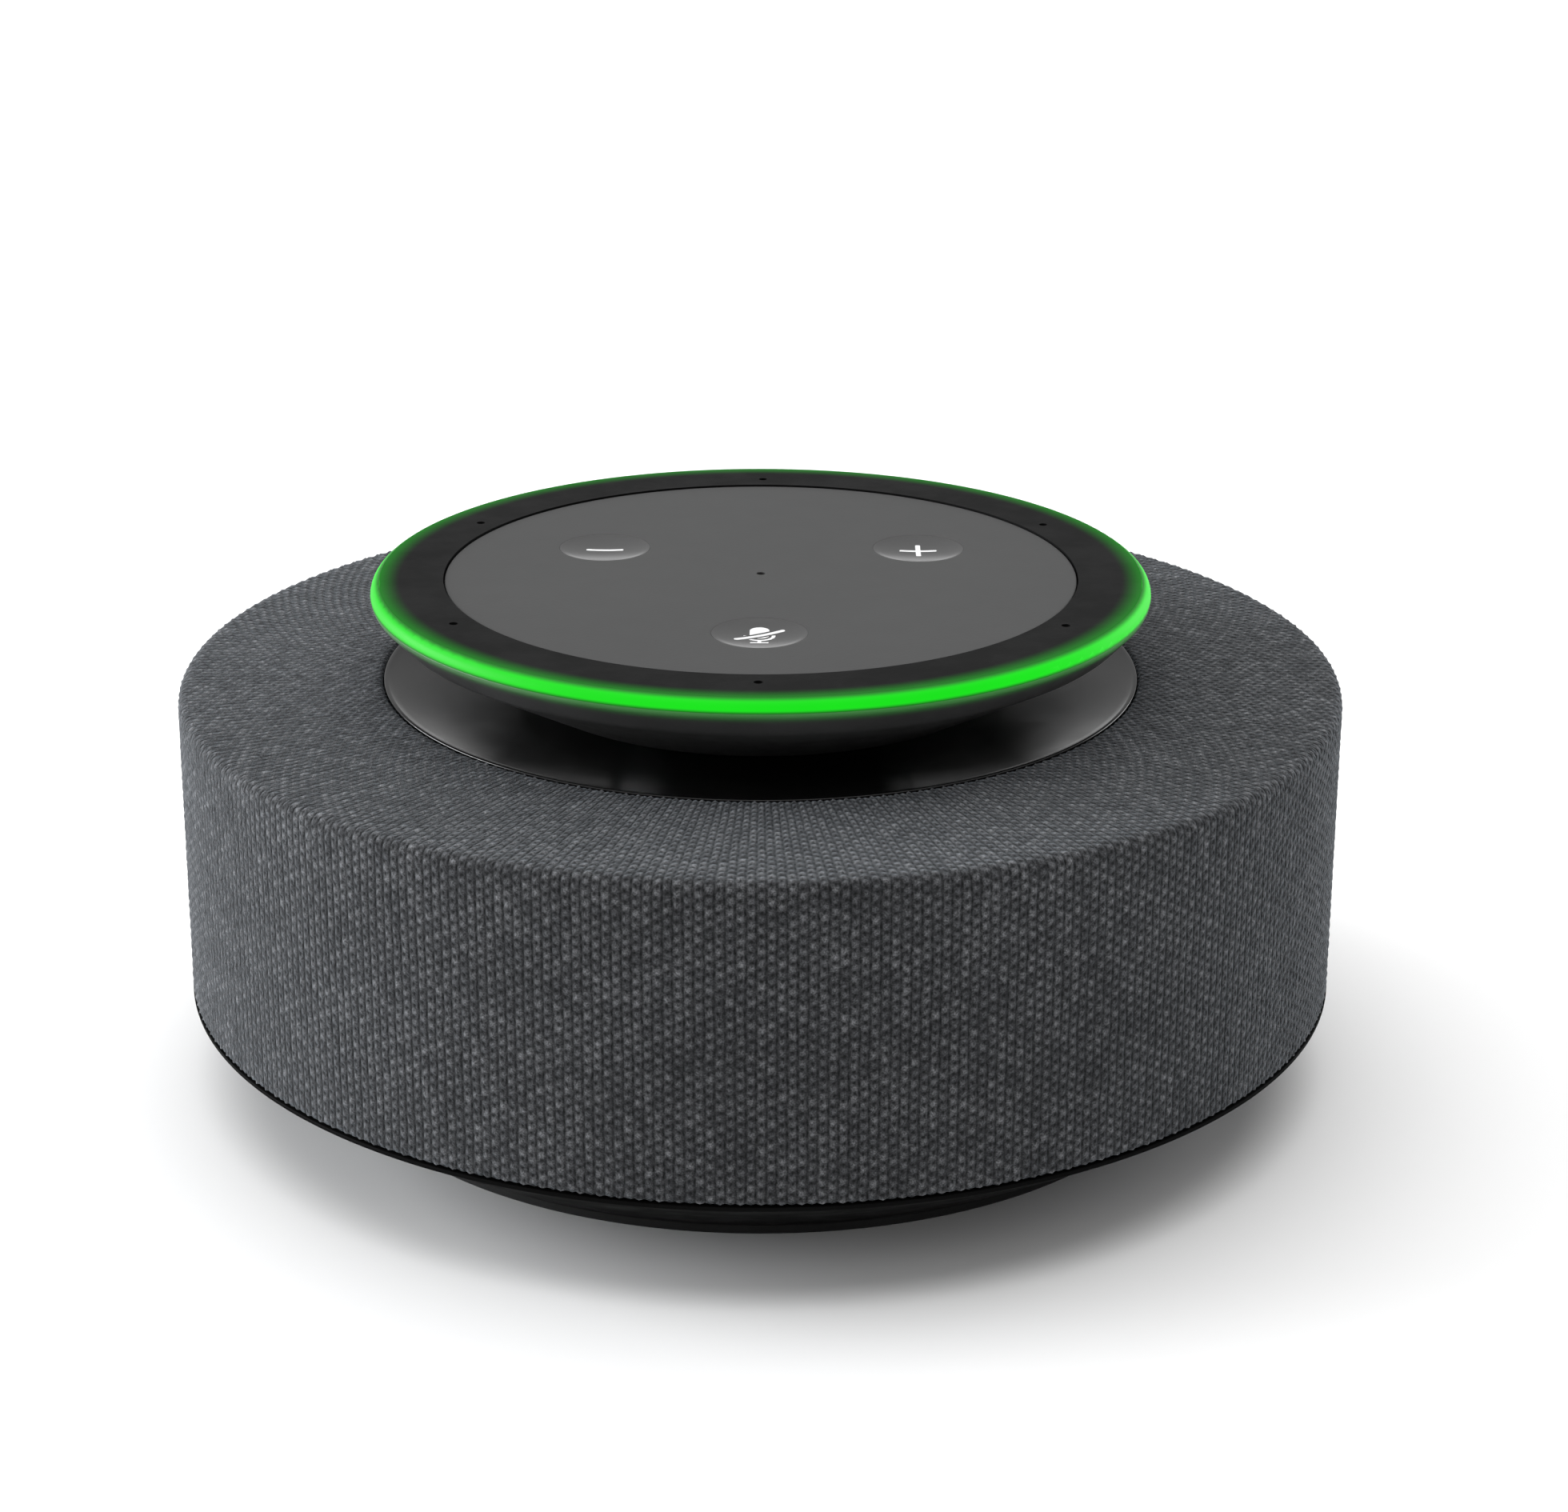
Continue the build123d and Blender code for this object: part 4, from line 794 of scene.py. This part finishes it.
def step(axis, start, end, low, high):
    """A smooth change of brightness along one axis of the sky."""
    ramp = sky.nodes.new("ShaderNodeMapRange")
    ramp.interpolation_type = "SMOOTHSTEP"
    for key, value in (("From Min", start), ("From Max", end), ("To Min", low), ("To Max", high)):
        ramp.inputs[key].default_value = value
    sky.links.new(parts.outputs[axis], ramp.inputs["Value"])
    return ramp.outputs["Result"]


# White where it is seen; as a light it is a dim room, brighter on the left and,
# behind the hub, close above the horizon.
room = sky.nodes.new("ShaderNodeMath")
room.operation = "MULTIPLY_ADD"
sky.links.new(step("Z", 0.08, 0.22, 0.5, 0.0), room.inputs[0])
sky.links.new(step("Y", 0.3, 0.7, 0.0, 1.0), room.inputs[1])
sky.links.new(step("X", -1.0, 1.0, 0.50, 0.30), room.inputs[2])
sky.links.new(seen.outputs["Is Camera Ray"], choose.inputs[0])
sky.links.new(room.outputs[0], choose.inputs[2])
choose.inputs[3].default_value = 1.05
sky.links.new(choose.outputs[0], backdrop.inputs["Strength"])
backdrop.inputs["Color"].default_value = rgb(1, 1, 1)


def soft_sun(name, azimuth, elevation, spread, power, colour=(1, 1, 1)):
    """A far soft light. Azimuth 0 is the front, 90 the right."""
    lamp = bpy.data.lights.new(name, "SUN")
    lamp.energy, lamp.color, lamp.angle = power, colour, math.radians(spread)
    holder = bpy.data.objects.new(name, lamp)
    a, e = math.radians(azimuth), math.radians(elevation)
    way = Vector((math.sin(a) * math.cos(e), -math.cos(a) * math.cos(e), math.sin(e)))
    holder.rotation_euler = way.to_track_quat("Z", "Y").to_euler()
    bpy.context.scene.collection.objects.link(holder)
    return holder


soft_sun("key_left", -103, 8, 46, 6.6, (0.96, 0.98, 1.0))
soft_sun("overhead", 180, 78, 76, 3.0)
soft_sun("front_fill", 0, 30, 50, 0.5).visible_glossy = False
soft_sun("rim_right", 132, 12, 30, 0.9)

camera_data = bpy.data.cameras.new("camera")
camera_data.lens, camera_data.sensor_width = 85, 36
camera_data.clip_start = 0.01
camera = bpy.data.objects.new("camera", camera_data)
tilt, roll, distance = 0.3515, 0.0032, 0.51796
aim = Vector((3.255 * MM, 0, 43.87 * MM))
camera.location = aim + distance * Vector((0, -math.cos(tilt), math.sin(tilt)))
look_down = Euler((math.pi / 2 - tilt, 0, 0)).to_matrix()
camera.rotation_euler = (look_down @ Euler((0, 0, roll)).to_matrix()).to_euler()
bpy.context.scene.collection.objects.link(camera)
bpy.context.scene.camera = camera
bpy.context.scene.view_settings.view_transform = "Standard"
